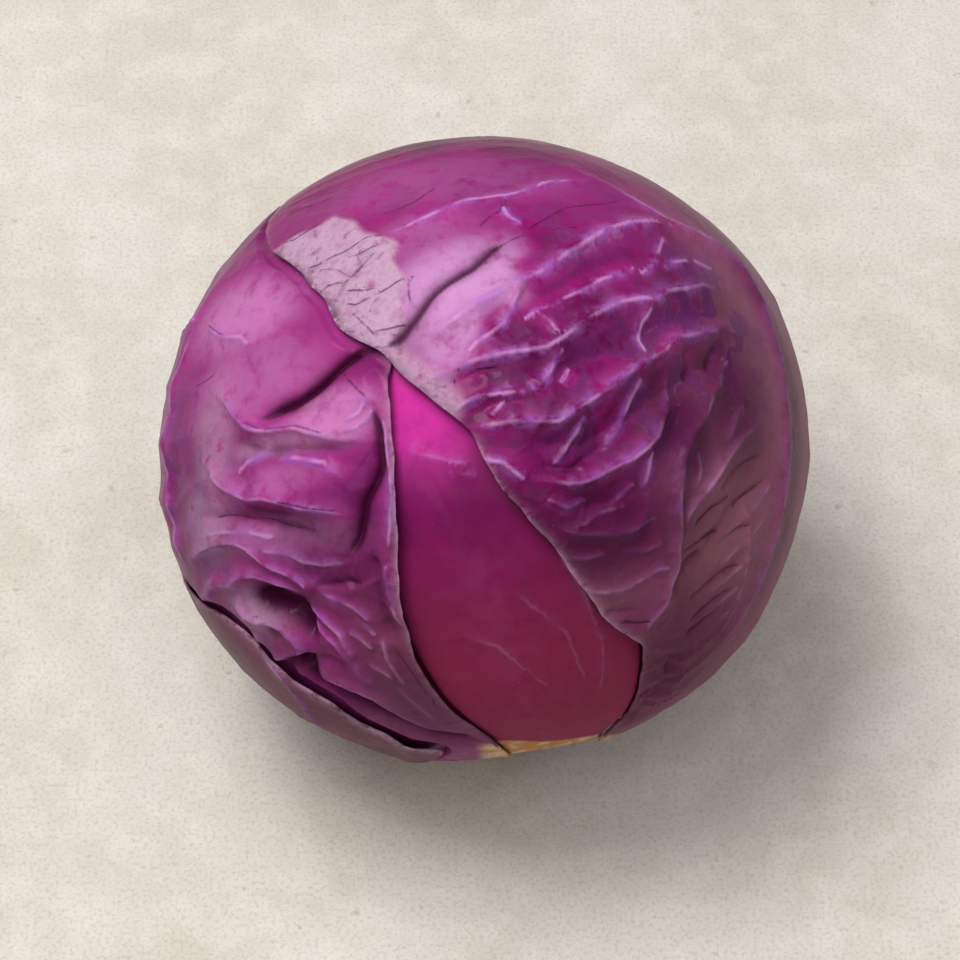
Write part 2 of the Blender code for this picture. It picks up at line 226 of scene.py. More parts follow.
# ---- the leaves: margins, main folds and fine folds ----
class Leaf:
    """One wrapper leaf: a margin drawn round a centre, a depth in the stack and its own folds."""

    def __init__(self, name, centre, stalk, margin, depth, ripple, main, fine, cracks=()):
        self.name, self.depth, self.main, self.fine, self.cracks = name, depth, main, fine, cracks
        self.middle = direction(*centre)
        self.east = direction(centre[0] + 90.0, 0.0)
        self.north = np.cross(self.middle, self.east)
        turn, reach = self.chart(direction(*np.array(margin, float).T))
        order = np.argsort(turn)
        around = np.linspace(-math.pi, math.pi, 1441)[:-1]
        edge = np.interp(around, turn[order], reach[order], period=2 * math.pi)
        edge = edge + ripple * np.sin(19 * around + 1.0)
        edge = edge + 0.7 * ripple * np.sin(34 * around + 2.6 * np.sin(3 * around))
        edge = edge + 0.5 * ripple * np.sin(83 * around + 4.0 * np.sin(7 * around))
        edge = self.cut_at_butt(around, self.soften(edge, 3.0), stalk)
        self.around, self.edge = around, self.soften(edge, 1.5)
        self.skirt = self.soften(np.max([np.roll(self.edge, k) for k in range(-6, 7)], axis=0), 3.0)
        self.over, self.under, self.sunk_by, self.lifted, self.trim = [], [], [], 0.0, TRIM

    @staticmethod
    def soften(edge, blur):
        soft = np.exp(-0.5 * (np.arange(-9, 10) / blur) ** 2)
        return np.convolve(np.concatenate([edge[-9:], edge, edge[:9]]), soft / soft.sum(), "valid")

    def cut_at_butt(self, turn, edge, stalk):
        """The knife takes off what would reach past the southern latitude of the stalk's end."""
        pole = math.acos(-self.middle[2])
        toward = math.atan2(-self.north[2], -self.east[2])
        a, b = math.cos(pole), math.sin(pole) * np.cos(turn - toward)
        meets = math.cos(math.radians(90.0 - stalk)) / np.hypot(a, b)
        near = np.arctan2(b, a) - np.arccos(np.clip(meets, -1.0, 1.0))
        return np.where((meets < 1.0) & (near > 0), np.minimum(edge, near), edge)

    def chart(self, way):
        """Bearing and angular distance of directions from the leaf's centre."""
        reach = np.arccos(np.clip(way @ self.middle, -1.0, 1.0))
        return np.arctan2(way @ self.north, way @ self.east), reach

    def spread_out(self, flat):
        """Where points of a square grid go on the head, drawn round to the margin."""
        x, y = flat[:, 0], flat[:, 1]
        turn = np.arctan2(y * np.sqrt(1.0 - x * x / 2), x * np.sqrt(1.0 - y * y / 2)) + GRID_TURN
        edge = np.interp(turn, self.around, self.edge, period=2 * math.pi)
        reach = np.sqrt(x * x + y * y - x * x * y * y) * edge
        outward = np.cos(turn)[:, None] * self.east + np.sin(turn)[:, None] * self.north
        return np.cos(reach)[:, None] * self.middle + np.sin(reach)[:, None] * outward

    def beyond(self, way, sizes):
        """How far outside the margin a direction is, in metres, negative inside."""
        turn, reach = self.chart(way)
        return (reach - np.interp(turn, self.around, self.skirt, period=2 * math.pi)) * sizes.head_radius

    def cover(self, way, sizes):
        """1 under the leaf and just beyond its margin, falling to 0 a little further out."""
        return 1.0 - ramp(self.beyond(way, sizes), sizes.lap_out, sizes.lap_out + sizes.lap_edge)

    def radius(self, way, sizes, fine=True):
        """Distance of the leaf's outer face from the middle of the head."""
        covers = [leaf.cover(way, sizes) for leaf in self.over]
        bare = np.prod([1.0 - c for c in covers], axis=0) if covers else np.ones(len(way))
        r = (sizes.head_radius - self.depth) * head_shape(way)
        relief = 1.2 * fold_height(way, self.main, 0.5, 0.25)
        if fine:
            relief = relief + 1.2 * fold_height(way, self.fine, 0.4, 0.15) + self.crumple(way, sizes)
        r = r + bare * relief - sizes.lap * sum(covers)
        if self.sunk_by:
            r = r - SINK * np.max([ramp(-leaf.beyond(way, sizes), 0.0010, 0.0060) for leaf in self.sunk_by],
                                  axis=0)
        r = r + self.lifted * ramp(-way[:, 2], 0.55, 0.85)
        for leaf in self.under:
            floor = leaf.radius(way, sizes, False) + sizes.lap
            blend = 1.0 - ramp(leaf.beyond(way, sizes), 0.0, LAP_BLEND)
            r = r + blend * (np.maximum(r, floor) - r)
        pressed = max(self.depth, 0.0) + sizes.lap * sum(covers)
        r = np.minimum(r, self.trim / np.maximum(-way[:, 2], 0.1))
        return np.minimum(r, (rest_depth(sizes) - pressed) / np.maximum(way @ DOWN, 0.3))

    def crumple(self, way, sizes):
        """Small relief without drawn lines: soft unevenness, puckered cells and the curl of the margin."""
        puckers = np.exp(-cells(way, 7.0, 5 + len(self.name)) / 1.1) * (0.6 + 0.4 * swell(way, 14.0, 31))
        uneven = 0.22 * swell(way, 9.0, 41) + 0.10 * swell(way, 4.0, 42)
        inside = np.maximum(-self.beyond(way, sizes), 0.0) / MM
        curl = np.exp(-inside / 1.6) * np.maximum(swell(way, 8.0, 51), 0.0)
        strength = crumpled(self.name, way)
        return (strength * (0.55 * puckers + uneven) + 0.06 * swell(way, 16.0, 61) + 0.5 * curl) * MM


def rest_depth(sizes):
    """Depth of the table below the middle of the head."""
    below = float(head_shape(DOWN[None])[0])
    return math.sqrt((sizes.head_radius * below) ** 2 - REST_RADIUS ** 2)


def fan(start, end, count, height, width):
    """Evenly spaced folds between two drawn lines."""
    start, end = np.array(start, float), np.array(end, float)
    return [(height, width, (start + (end - start) * k / (count - 1)).tolist()) for k in range(count)]


def laterals(rib, side, count, reach, rise, height, width):
    """Side veins that leave a midrib at even steps and bend towards the crown."""
    rib = np.array(rib, float)
    veins = []
    for k, step in enumerate(np.linspace(0.08, 0.92, count) * (len(rib) - 1)):
        i = min(int(step), len(rib) - 2)
        foot = rib[i] + (rib[i + 1] - rib[i]) * (step - i)
        out = side * reach * (1.0 - 0.25 * abs(2.0 * k / (count - 1) - 1.0))
        veins.append((height, width, [(foot[0] + out * s, min(foot[1] + rise * s ** 0.7, 86.0))
                                      for s in (0.0, 0.25, 0.5, 0.75, 1.0)]))
    return veins


# Midribs that side veins leave, and lines that are folded and cracked alike.
LOWER_MIDRIB = [(-120, -66), (-130, -40), (-140, -15), (-148, 4)]
RIGHT_MIDRIB = [(70, -62), (80, -40), (84, -10), (86, 20), (90, 45)]
LEFT_MIDRIB = [(-66, -66), (-80, -40), (-84, -10), (-80, 20), (-70, 45)]
BACK_MIDRIB = [(160, -68), (165, -40), (167, -10), (170, 25)]
PAPER_FOLDS = [
    [(-33, 36.3), (-29.6, 36.4), (-26.9, 37.6), (-24.4, 38.5), (-19.1, 42)],
    [(-25.9, 29.8), (-23.2, 29.9), (-21.7, 32), (-19.8, 33.5), (-17.9, 35.6), (-14.2, 39.9)],
    [(-23.4, 28.6), (-19.6, 27.1), (-15.4, 29.1), (-11.3, 31)]]
RIGHT_CREASES = [
    [(55, -7.5), (49, -9.5), (45.5, -11), (42, -13)], [(56, -11.5), (51.5, -13.5), (47, -16)],
    [(52, -18.5), (48.5, -19.5), (44, -22)], [(46, -14), (41, -15), (37, -17.5)],
    [(44.5, -19.3), (40, -20.5), (34.5, -23)], [(51, -26.3), (47, -27.5), (42, -30.5), (39.5, -32)],
    [(51, -31), (46, -33), (40.5, -36)], [(49.5, -33.5), (45.5, -35.7), (42, -39)],
    [(23, -33.5), (27.5, -34), (29.5, -33.5)]]

# Each leaf: centre, latitude of its stalk's end, margin, depth, ripple, main folds, fine folds, cracks.
LOWER = Leaf("lower_leaf", (-140, -40), 68.5, [
    (-33, -63), (-39, -61), (-43, -58), (-45, -54), (-49, -47), (-51.5, -40), (-55.5, -32.5), (-58, -27),
    (-62, -22), (-76, -18.5), (-92, -13), (-112, -5), (-135, 4), (-160, 6), (176, 0), (158, -12), (143, -30),
    (130, -46), (122, -58), (126, -69), (-42, -70)],
    -0.0005, 0.006,
    [(0.7, 9, [(-95, -66), (-70, -67), (-50, -63), (-45, -54)]),
     (1.0, 3, [(-57.5, -30), (-56.5, -35.5), (-58, -39.5), (-60, -43), (-66.5, -47), (-72, -51.5)]),
     (1.2, 9, LOWER_MIDRIB),
     (0.7, 6, [(-90, -66), (-95, -45), (-102, -25), (-112, -8)]),
     (0.7, 6, [(170, -64), (170, -45), (172, -25), (174, -5)])],
    laterals(LOWER_MIDRIB, 1, 6, 55, 14, 0.35, 1.2) + laterals(LOWER_MIDRIB, -1, 6, 50, 14, 0.35, 1.2))

RIGHT = Leaf("right_leaf", (62, 6), 71.5, [
    (-70, 57), (-60, 50), (-52, 46), (-46, 42.5), (-41, 40.5), (-36, 37.5), (-33.5, 36), (-30.5, 33),
    (-26.5, 30), (-25, 27.5), (-23, 24), (-20, 21.5), (-17.5, 20), (-15, 18.5), (-12.5, 15), (-10, 12.3),
    (-8, 10.5), (-5.5, 7.5), (-1.5, 3.3), (0, -1.5), (2.5, -7.5), (4.7, -10), (6.5, -13.8), (9.3, -17),
    (11.3, -20), (12.5, -22.8), (15.5, -27), (18.5, -31.5), (24, -36), (29, -39), (31.2, -42), (33.3, -46.5),
    (37, -54), (40.3, -61.5), (44, -72), (92, -76), (118, -64), (132, -52), (145, -32), (155, -10),
    (163, 14), (175, 36), (-165, 50), (-140, 61), (-105, 64), (-85, 62)],
    0.0, 0.002,
    [(2.2, 4.5, [(58.5, 31), (50, 34.5), (45, 35.5), (38.5, 35.5), (32, 34.5), (25, 31.5), (18, 28.5),
                 (12, 26.5), (5, 24), (-1.5, 21), (-9, 19)], -0.3),
     (2.3, 4.5, [(60, 19), (49, 22.5), (43.5, 21.5), (39, 21.5), (35.5, 20.5), (32, 21), (27.5, 20.5),
                 (21, 18), (15.5, 15.5), (12.5, 14.5), (7.5, 14.5), (1.5, 14), (-4, 13), (-9, 12)], -0.3),
     (2.4, 4.5, [(58, 10), (50, 14), (43.5, 13.5), (37, 13), (33.5, 11), (27, 9), (20.5, 6), (15, 3.5),
                 (12.5, 2.5), (7, 3.5), (2, 3.5), (-1.5, 3.6)], -0.3),
     (2.2, 3.8, [(34, 9), (32, 2.5), (30.5, 0.5), (29.5, -2), (27.5, -3.5), (24.5, -5), (21.5, -6),
                 (18, -7.5), (15, -8), (12.5, -7.5), (8, -6)], -0.3),
     (1.6, 3.0, [(29.5, -14.8), (26.5, -16), (23, -17), (20.5, -17), (17.5, -16.5), (14.5, -16),
                 (10, -14.5)], -0.3),
     (2.0, 3.5, [(47, 8), (42, 3), (38, -1), (35.5, -3.5), (34, -5.5), (33, -8), (32.5, -11.5), (33, -17.5),
                 (32.5, -21), (33.3, -25), (32, -30.5), (29.5, -33.5), (29, -37)], -0.3),
     (1.7, 3.5, [(57, -1), (47, -5), (44, -7.5), (41.5, -9.5), (39, -11.5), (36.5, -13.5), (34.5, -15.5),
                 (34, -18.5), (33, -21)], 0.3),
     (2.0, 5.0, [(40, 55), (46, 43), (50.5, 36.5), (56, 33), (60, 31), (63.5, 28.5), (66.5, 26), (67, 20),
                 (65, 12), (64, 3), (63.3, -5.5), (62.5, -14.5), (61.5, -22), (60.3, -29.5), (59, -38),
                 (57, -45), (50, -54)], -0.4),
     (1.1, 2.6, [(50, -14), (51.5, -19), (52.5, -24), (53, -28), (54, -32), (54.3, -37.5), (51, -45)]),
     (1.0, 2.6, [(14.5, -26), (19, -27), (23, -27), (27, -25.5), (29.5, -24.5), (33, -24.5)]),
     (1.0, 3.5, [(42, 49), (29, 48.5), (20.5, 47), (15, 46), (10, 46), (4.5, 46), (0, 44.5), (-4, 43.5),
                 (-10, 41.8), (-15.5, 41)]),
     (1.5, 9, RIGHT_MIDRIB),
     (0.9, 7, [(100, -60), (108, -40), (118, -15), (130, 10), (150, 32)]),
     (-1.4, 6, [(58, 15), (44, 17.5), (32, 15), (20, 11.5), (8, 11)]),
     (-1.5, 6, [(52, 5), (44, 9), (36, 6), (26, 2), (16, -2), (6, 0)]),
     (-1.1, 5, [(58, -6), (50, -11), (44, -18), (38, -27), (36, -36)]),
     (-1.2, 5, [(28, -9), (20, -12), (12, -11.5)]),
     (-2.0, 2.3, [(12, 36.3), (7.5, 35), (3.5, 32), (-1, 29.5), (-4, 27.5), (-7, 25), (-10, 22.5), (-12, 20),
                  (-14.5, 18.7)], 0.3),
     (-2.2, 4, [(40, -42), (44, -50), (47, -58), (50, -65)]),
     (-1.8, 2.4, [(41, -22.6), (38.5, -23.5), (35.8, -25), (35, -28), (36, -31)])],
    [(1.3, 2.4, [(12, 26.5), (10.5, 24.5), (8.5, 22), (6.5, 19.5), (4, 18), (1.5, 16.5), (-1.5, 13.5)], -0.4),
     (1.3, 2.2, [(16.5, 15), (14, 12.5), (12, 10), (10, 8.5), (9, 8)], -0.4),
     (1.3, 2.4, [(9.5, 8), (6, 8), (3, 8), (0.5, 8), (-1.5, 7.5), (-4, 6.3)], -0.3),
     (0.8, 1.8, [(37.5, 27.5), (31.5, 26), (26.5, 25), (22.5, 23.5), (18.5, 22.5), (14, 21), (8, 19)]),
     (0.8, 1.6, [(50, 27.5), (45.5, 27), (43, 27), (40.5, 25.5)]),
     (0.8, 1.7, [(47.5, 33), (42.5, 29.5), (38.5, 26.5), (33.5, 25)]),
     (1.1, 2.2, [(34.5, 20.5), (31.5, 17), (30, 13.5), (30, 10)], -0.5),
     (0.9, 1.7, [(17.3, 3.5), (15.5, 0), (13.5, -2), (10.5, -4.3)]),
     (1.0, 1.8, [(29, 8.5), (26, 4.5), (23.5, 0.5), (20, -2.5)]),
     (0.9, 1.6, [(28.5, -3.5), (27.5, -6.5), (26, -10.5)]),
     (1.2, 2.2, [(40, 1.5), (35.5, -2.5), (32.5, -6.5), (32.5, -11)]),
     (0.7, 1.5, [(12.5, 20.5), (14.5, 19), (15.2, 16)]),
     (0.7, 1.3, [(5, 7.5), (2, 4.5)]),
     (0.6, 1.5, [(13, 44), (13, 41), (15.5, 39)]),
     (0.8, 1.6, [(12.5, -15), (16.5, -13.5), (20, -13), (24, -12.3)]),
     (0.7, 1.5, [(20, -12.7), (22.5, -11), (25, -9)]),
     (0.9, 1.6, [(-0.5, -1.5), (3, -2.5), (4.5, -4), (6.5, -6)]),
     (0.6, 1.4, [(16.5, 11), (14, 8.5)]),
     (0.7, 1.5, [(9, -9.5), (12, -11.5), (16, -11)]),
     (0.8, 1.6, [(50, 1), (47, -1.5), (44, -5)]),
     (0.9, 1.6, [(49, 9), (45.5, 6), (42.5, 3.5)]),
     (0.7, 1.6, [(55, 25), (50, 27.5)]),
     (0.6, 1.4, [(22, -20), (26, -20.5), (30, -19.5)]),
     (0.6, 1.3, [(12, -20), (15, -20.3), (19, -19.8)]),
     (0.5, 1.3, [(37.5, -5), (38, -8.5), (36, -12)]),
     (-0.9, 1.5, [(39, 12.6), (39.5, 9), (37.5, 6)]),
     (-0.9, 1.5, [(46.5, 12.5), (45.5, 10), (43, 7)]),
     (-0.7, 1.4, [(5, 12.3), (0, 12.2), (-4, 11)]),
     (-0.6, 1.2, [(9, 6.9), (3, 6.4), (-2, 5.4)]),
     (-0.8, 1.3, [(22, -1.5), (14, -5.5), (8, -4)]),
     (-0.7, 1.4, PAPER_FOLDS[0]), (-0.7, 1.4, PAPER_FOLDS[1]), (-0.5, 1.4, PAPER_FOLDS[2]),
     (0.35, 1.6, [(-46, 42.8), (-40.2, 44.8), (-34.9, 46.6), (-30.2, 48.7)])]
    + [(-0.8, 1.2, line) for line in RIGHT_CREASES + [
        [(28.5, -15.4), (25.5, -16.8)], [(19, -31), (23, -31.5), (26.5, -31.5)]]]
    + fan([(58, -12), (50, -18), (44, -22)], [(55, -38), (50, -42), (45, -45)], 6, 0.55, 1.1)
    + fan([(33, -40.5), (38, -41.5), (44, -43)], [(42, -58), (47, -57), (55, -52)], 5, 0.9, 1.2)
    + fan([(-62, 52), (-40, 50), (-15, 50), (10, 52), (35, 54)],
          [(-66, 57), (-55, 66), (-20, 76), (50, 78), (80, 62)], 5, 0.25, 2.2)
    + laterals(RIGHT_MIDRIB, 1, 8, 55, 16, 0.38, 2.0),
    [[(15, 45.2), (12, 42.5), (9, 41.5), (5.5, 39.8)], [(7.5, 35.2), (11.5, 36.2), (15.5, 36.6)],
     [(15.5, 37), (18.5, 38.5), (23.5, 40), (28, 41.5), (35, 41.7), (44, 41.5)], [(21, 36.1), (28, 35.6)],
     PAPER_FOLDS[0] + [(-14.3, 40.8)], PAPER_FOLDS[1], PAPER_FOLDS[2] + [(-7.4, 31.6)],
     [(-23.4, 37), (-20.3, 37.5), (-14.9, 39.8)],
     [(-20.5, 26), (-18.1, 23.3), (-15.4, 20.6)], [(-15.9, 21.6), (-12.9, 22.2), (-10.3, 23.1)],
     [(-23, 30.6), (-18.3, 29.9), (-14.4, 30.3)],
     [(-44.6, 43.8), (-40.2, 44.2), (-34.9, 46.3), (-30.2, 48.7)],
     [(-7.4, 31.6), (-9.1, 30.3), (-9.1, 27.3), (-8.8, 26.2)], [(-53.4, 51.7), (-47.6, 53.1), (-41.6, 54)],
     [(-27.5, 31.6), (-25.7, 32.4), (-21.7, 32.3)],
     [(-58.9, 55.6), (-51.1, 56.4), (-38.3, 57.3), (-27, 57.9)],
     [(-1.5, 13.5), (-3, 11)], [(16, 10.5), (14.5, 9)], [(5, 12.5), (1, 12.6), (-3, 11.3)],
     [(-16.5, 47), (-13, 47), (-8, 48.5), (-1, 52.5)]] + RIGHT_CREASES)

LEFT = Leaf("left_leaf", (-70, 0), 71.5, [
    (-11.5, 28), (-14, 15), (-14, 9), (-14.5, 4), (-14.8, -3), (-15.5, -9.5), (-17, -15), (-18.3, -22),
    (-19.3, -28), (-20, -35), (-19.5, -41.5), (-18, -49), (-14.7, -55.7), (-10.5, -62), (-8, -73), (-60, -78),
    (-120, -74), (-150, -66), (-168, -40), (-171, -12), (-168, 14), (-160, 40), (-130, 60), (-90, 70),
    (-45, 62), (-20, 45)],
    0.0, 0.002,
    [(1.2, 8, [(-64, 42), (-68, 30), (-70, 15), (-72, 0), (-77, -12)]),
     (1.4, 3.5, [(-66, 30), (-67, 22), (-68.5, 17), (-69.5, 13), (-70, 8.5), (-69, 4), (-69, -3),
                 (-70, -8), (-71, -14)]),
     (2.1, 3.2, [(-52, 17), (-46.5, 13.5), (-44, 11), (-41, 9), (-37.5, 8.5), (-34, 8), (-31, 7.5), (-28, 6),
                 (-25.5, 5), (-22.5, 4), (-16.5, 3.5)], 0.4),
     (2.3, 3.5, [(-55, 6), (-50.5, 3), (-48.5, 0.5), (-46, -1), (-43, -2.5), (-39, -2.5), (-35, -4),
                 (-31.5, -5.5), (-28.5, -6), (-23, -8)], 0.4),
     (1.4, 2.6, [(-60, -7.5), (-50, -7.3), (-44, -7.7), (-38, -9.3)], 0.3),
     (2.3, 3.2, [(-68, -11.5), (-62.5, -10), (-56.5, -9.5), (-52.5, -9), (-48, -9), (-45.5, -10), (-43, -12),
                 (-41, -14), (-38, -15.5), (-35, -18), (-30.5, -19), (-25, -20)], 0.4),
     (2.3, 2.8, [(-80, -19), (-64, -17.5), (-58, -16), (-53.5, -16.5), (-49.5, -15.5), (-46, -15.5),
                 (-43.5, -16.5), (-40, -17.7), (-36, -20)], 0.4),
     (2.2, 2.5, [(-52, -17.5), (-54.5, -20), (-53, -22), (-50, -23.5), (-45.5, -25), (-43.5, -27.5),
                 (-43.5, -29.5), (-46.5, -30.7), (-53, -31), (-57, -32.5)]),
     (1.7, 2.2, [(-38, -24), (-37, -26.5), (-34.5, -29), (-33.5, -32.5), (-33, -36), (-32.5, -40)]),
     (1.9, 2.2, [(-49, -33.5), (-45, -36.5), (-41, -38), (-37.5, -39.8), (-35, -42.5), (-33.5, -45.5),
                 (-31, -49), (-26, -53), (-19, -57)], 0.5),
     (0.8, 9, [(-24, -24), (-25, -36), (-24, -48), (-20, -56)]),
     (0.9, 5, [(-60, 29), (-50, 26), (-42, 23), (-30, 23)]),
     (1.0, 8, [(-120, -60), (-128, -35), (-134, -5), (-140, 25)]),
     (-3.0, 2.1, [(-14, 19), (-18.5, 19), (-22, 17.5), (-24.5, 16), (-27.5, 14.5), (-31.5, 12.5),
                  (-35.5, 11.5), (-40, 10)], 0.3),
     (-1.6, 2.2, [(-47, 7.5), (-39.5, 5.5), (-35.5, 4.5), (-31.5, 4), (-27, 3.5), (-21, 2)]),
     (-1.7, 2.2, [(-56, -4.5), (-51.5, -5.2), (-47.5, -5.2), (-43, -5.8), (-38.5, -7), (-35.5, -8.5),
                  (-33, -9.5), (-29, -11.5)]),
     (-6.0, 3.2, [(-51, -19.6), (-47, -20.3), (-43.5, -20.8), (-41, -22), (-40, -24.5), (-40.3, -28.5)]),
     (-5.0, 2.8, [(-56, -33.5), (-50, -32.3), (-46, -32.5), (-47, -36), (-44, -39.5), (-41, -43), (-38, -47),
                  (-34, -51.5), (-28, -56.5), (-18, -61)]),
     (-2.8, 2.2, [(-16.8, 11), (-16.8, 5), (-17, 0), (-18.5, -3), (-20.5, -6), (-21.5, -8.5), (-23.5, -11.5),
                  (-27, -15)]),
     (-1.6, 1.8, [(-22, -13), (-21.5, -18), (-22, -24), (-22.5, -31)])],
    [(0.9, 2.0, [(-36.5, 3.3), (-32.5, 3), (-28.5, 2), (-26.5, 1.5), (-25.5, 0), (-23.5, -1.5)]),
     (0.8, 2.0, [(-36.5, 6), (-41.5, 3.5), (-44, 1.5)]),
     (1.3, 2.0, [(-43, -10.3), (-38.5, -11.5), (-36, -12.5), (-34, -14), (-30.5, -15), (-26, -15)], 0.3),
     (1.1, 1.8, [(-36.5, -18.3), (-33, -19), (-30, -21), (-28, -22), (-26, -24.5), (-24.5, -26.5)]),
     (1.3, 1.8, [(-38, -21.5), (-34.5, -25), (-32.5, -27.5), (-32.5, -30), (-32, -33)]),
     (0.9, 1.6, [(-31, -27), (-28.5, -29), (-27, -31.5)]),
     (0.9, 1.5, [(-30.5, -34.5), (-27.5, -36.5), (-25.5, -38.5)]),
     (1.5, 2.0, [(-54, -25.5), (-56.5, -29), (-57.5, -32.5)]),
     (1.1, 1.4, [(-15.8, 9), (-15.8, 2.5), (-15.3, -1), (-15.5, -5), (-16.5, -10), (-18.5, -14)]),
     (1.1, 1.6, [(-19.3, -16), (-20, -20.5), (-20, -28)]),
     (0.5, 1.0, [(-16.5, 10), (-18, 7.5), (-20.5, 6), (-24, 5.3)]),
     (0.5, 1.0, [(-17, 11.5), (-19, 8.7), (-22, 7.2)]),
     (0.5, 1.6, [(-60, 28.5), (-55, 27.5), (-50, 26), (-45, 25), (-42, 23)]),
     (0.6, 4.0, [(-84, 20), (-74, 19.5), (-62, 17.5), (-55, 17)]),
     (0.7, 3.8, [(-86, 10), (-74, 9.5), (-62, 9), (-50, 11.5)]),
     (0.7, 4.0, [(-88, 0), (-76, -0.5), (-66, -1.5), (-57, 1.5), (-52, 2.5)]),
     (0.5, 3.8, [(-88, -9), (-76, -9), (-67, -7.5), (-58, -4)]),
     (0.9, 2.0, [(-84, 29), (-74, 30), (-66, 31)]),
     (-0.6, 2.6, [(-84, 15), (-72, 14.5), (-60, 13.5)]), (-0.7, 2.6, [(-86, 5), (-74, 4.5), (-62, 4)]),
     (-0.6, 2.6, [(-88, -5), (-76, -5), (-66, -5)]),
     (0.6, 1.4, [(-28, -24.5), (-26.5, -26), (-25, -29)]),
     (0.6, 1.4, [(-24, -29), (-25, -34), (-24.5, -40)]),
     (0.6, 1.4, [(-27, -40), (-25, -45), (-22, -50)]),
     (-1.7, 1.5, [(-33.5, -18.3), (-30, -18.6), (-27, -18.3), (-24.5, -18.9)]),
     (-1.3, 1.6, [(-45, -3.7), (-41.5, -4.9), (-38, -5.4), (-34.5, -6.4)]),
     (-1.8, 1.4, [(-51, -25.8), (-47.3, -26.4)]),
     (-1.0, 1.5, [(-46.5, -32.4), (-42.5, -31.8), (-38, -32.8), (-35, -36)]),
     (-0.8, 1.4, [(-37, -28.5), (-35.5, -32), (-35, -36)]),
     (-0.6, 1.3, [(-24, 11), (-30, 10.5), (-34, 11.2)])]
    + laterals(LEFT_MIDRIB, -1, 8, 55, 16, 0.38, 2.0),
    [[(-22.5, 16), (-20.5, 14), (-17, 11)], [(-52, 20.2), (-55, 19), (-58, 18)],
     [(-42, 10.2), (-37.5, 8.9), (-31, 8), (-25.5, 5.5)],
     [(-54, -5.2), (-47.5, -5.2), (-40, -6.4), (-33, -9.5)],
     [(-60, 28.9), (-55, 27.9), (-50, 26.4)], [(-36, -3.6), (-31.5, -5.1), (-25, -6.9)],
     [(-22.5, -31), (-21.5, -38), (-20.5, -46)], [(-60, -10.2), (-54, -9.4), (-49, -9.2)]])

FRONT = Leaf("front_leaf", (6, -12), 77.5, [
    (44, -74), (47, -61), (43, -53), (38, -45.3), (34, -39.6), (38, -30), (45, -15), (50, 5),
    (46, 25), (30, 42), (5, 50), (-25, 48), (-45, 35), (-56, 15), (-58, -10), (-54, -35), (-48, -55),
    (-42, -72), (-20, -79), (10, -80)],
    0.0034, 0.001,
    [(0.5, 12, [(8, -70), (2, -50), (-2, -30), (-4, -10)]),
     (0.9, 2.2, [(-13, 2.5), (-9.3, 0.3), (-5.4, -1.4), (-1.5, -2.2)]),
     (0.5, 1.6, [(-7.5, -2.8), (-4, -3.6), (-1, -4)]),
     (0.6, 3.0, [(10.5, -20), (15.8, -27.9), (20.6, -38.6), (23, -52)]),
     (0.4, 2.6, [(2.8, -25.9), (11.9, -35.1), (18, -47.5)]),
     (0.4, 3.0, [(-13.4, -31.3), (-2.5, -36), (10.3, -48.8)])],
    fan([(30, -66), (20, -54), (8, -46), (-8, -42), (-22, -42)],
        [(24, -70), (8, -44), (-2, -22), (-8, -4), (-12, 12)], 6, 0.22, 1.0))

BACK = Leaf("back_leaf", (165, 8), 75.5, [
    (100, -72), (92, -40), (92, -10), (98, 20), (112, 48), (150, 66), (-160, 68), (-122, 52), (-106, 25),
    (-100, -5), (-104, -35), (-112, -60), (-125, -79), (180, -82), (125, -79)],
    0.0050, 0.001,
    [(0.5, 10, BACK_MIDRIB)],
    laterals(BACK_MIDRIB, 1, 6, 45, 14, 0.3, 1.4) + laterals(BACK_MIDRIB, -1, 6, 45, 14, 0.3, 1.4))

RIGHT.over, LEFT.over, FRONT.over = [LOWER], [LOWER, RIGHT], [LOWER]
RIGHT.under, LEFT.under = [FRONT, LEFT], [FRONT]
FRONT.sunk_by, FRONT.lifted = [RIGHT, LEFT], LIFT
LEAVES = [LOWER, RIGHT, LEFT, FRONT, BACK]
for step, each in enumerate(LEAVES):
    each.trim = TRIM + (2 - step) * TRIM_STEP

# By leaf, how strongly its surface is crumpled all over, and ovals where it is more so.
CRUMPLE = {
    "lower_leaf": (0.15,),
    "right_leaf": (0.22, (1, 20, 5, 30, 26), (1, 42, -25, 18, 26)),
    "left_leaf": (0.32, (1, -38, -8, 22, 26), (1, -45, -26, 14, 14)),
    "front_leaf": (0.0,),
    "back_leaf": (0.10,),
}
# Ovals of painted shade, where a leaf is darkened to plum between its ribs and at the right limb, and ovals
# where violet islands are painted as a window reflection.
PAINTED_SHADE_OVALS = {
    "right_leaf": [(0.9, 17, -17, 16, 8), (0.9, 35, -2, 6, 7), (0.8, 48, 2, 8, 10), (0.7, 69, -4, 5, 30),
                   (0.5, 50, 10, 8, 11), (0.75, 41, -46, 14, 14), (0.5, 30, 6, 8, 3, 20),
                   (0.5, 20, -1, 10, 3, 25)],
    "left_leaf": [(0.4, -30, -14, 8, 4, -30), (0.6, -24, -47, 7, 9)],
}
WINDOW_REFLECTION_OVALS = {
    "right_leaf": [(0.8, 46, 14, 10, 13), (0.5, 28, 2, 13, 12), (0.4, 20, 40, 20, 8)],
    "left_leaf": [(0.5, -60, 0, 12, 26)],
}
BLOOM_EDGE = [(14, 52), (12, 42), (14, 33), (12, 26.5), (8.5, 22), (4, 18), (-1.5, 13.5), (-4, 9)]
PAPER_EDGE = [(-60, 39), (-44.6, 43.8), (-40.2, 44.8), (-34.9, 46.6), (-30.2, 48.7), (-19.4, 43.2),
              (-12.6, 39.8), (-11.1, 34.3), (-10.5, 28.7), (-10.2, 23.1), (-12.2, 19), (-14, 8)]
PAPER_TIP = [(-14, 18), (-10, 13), (-7, 10), (-5, 8)]


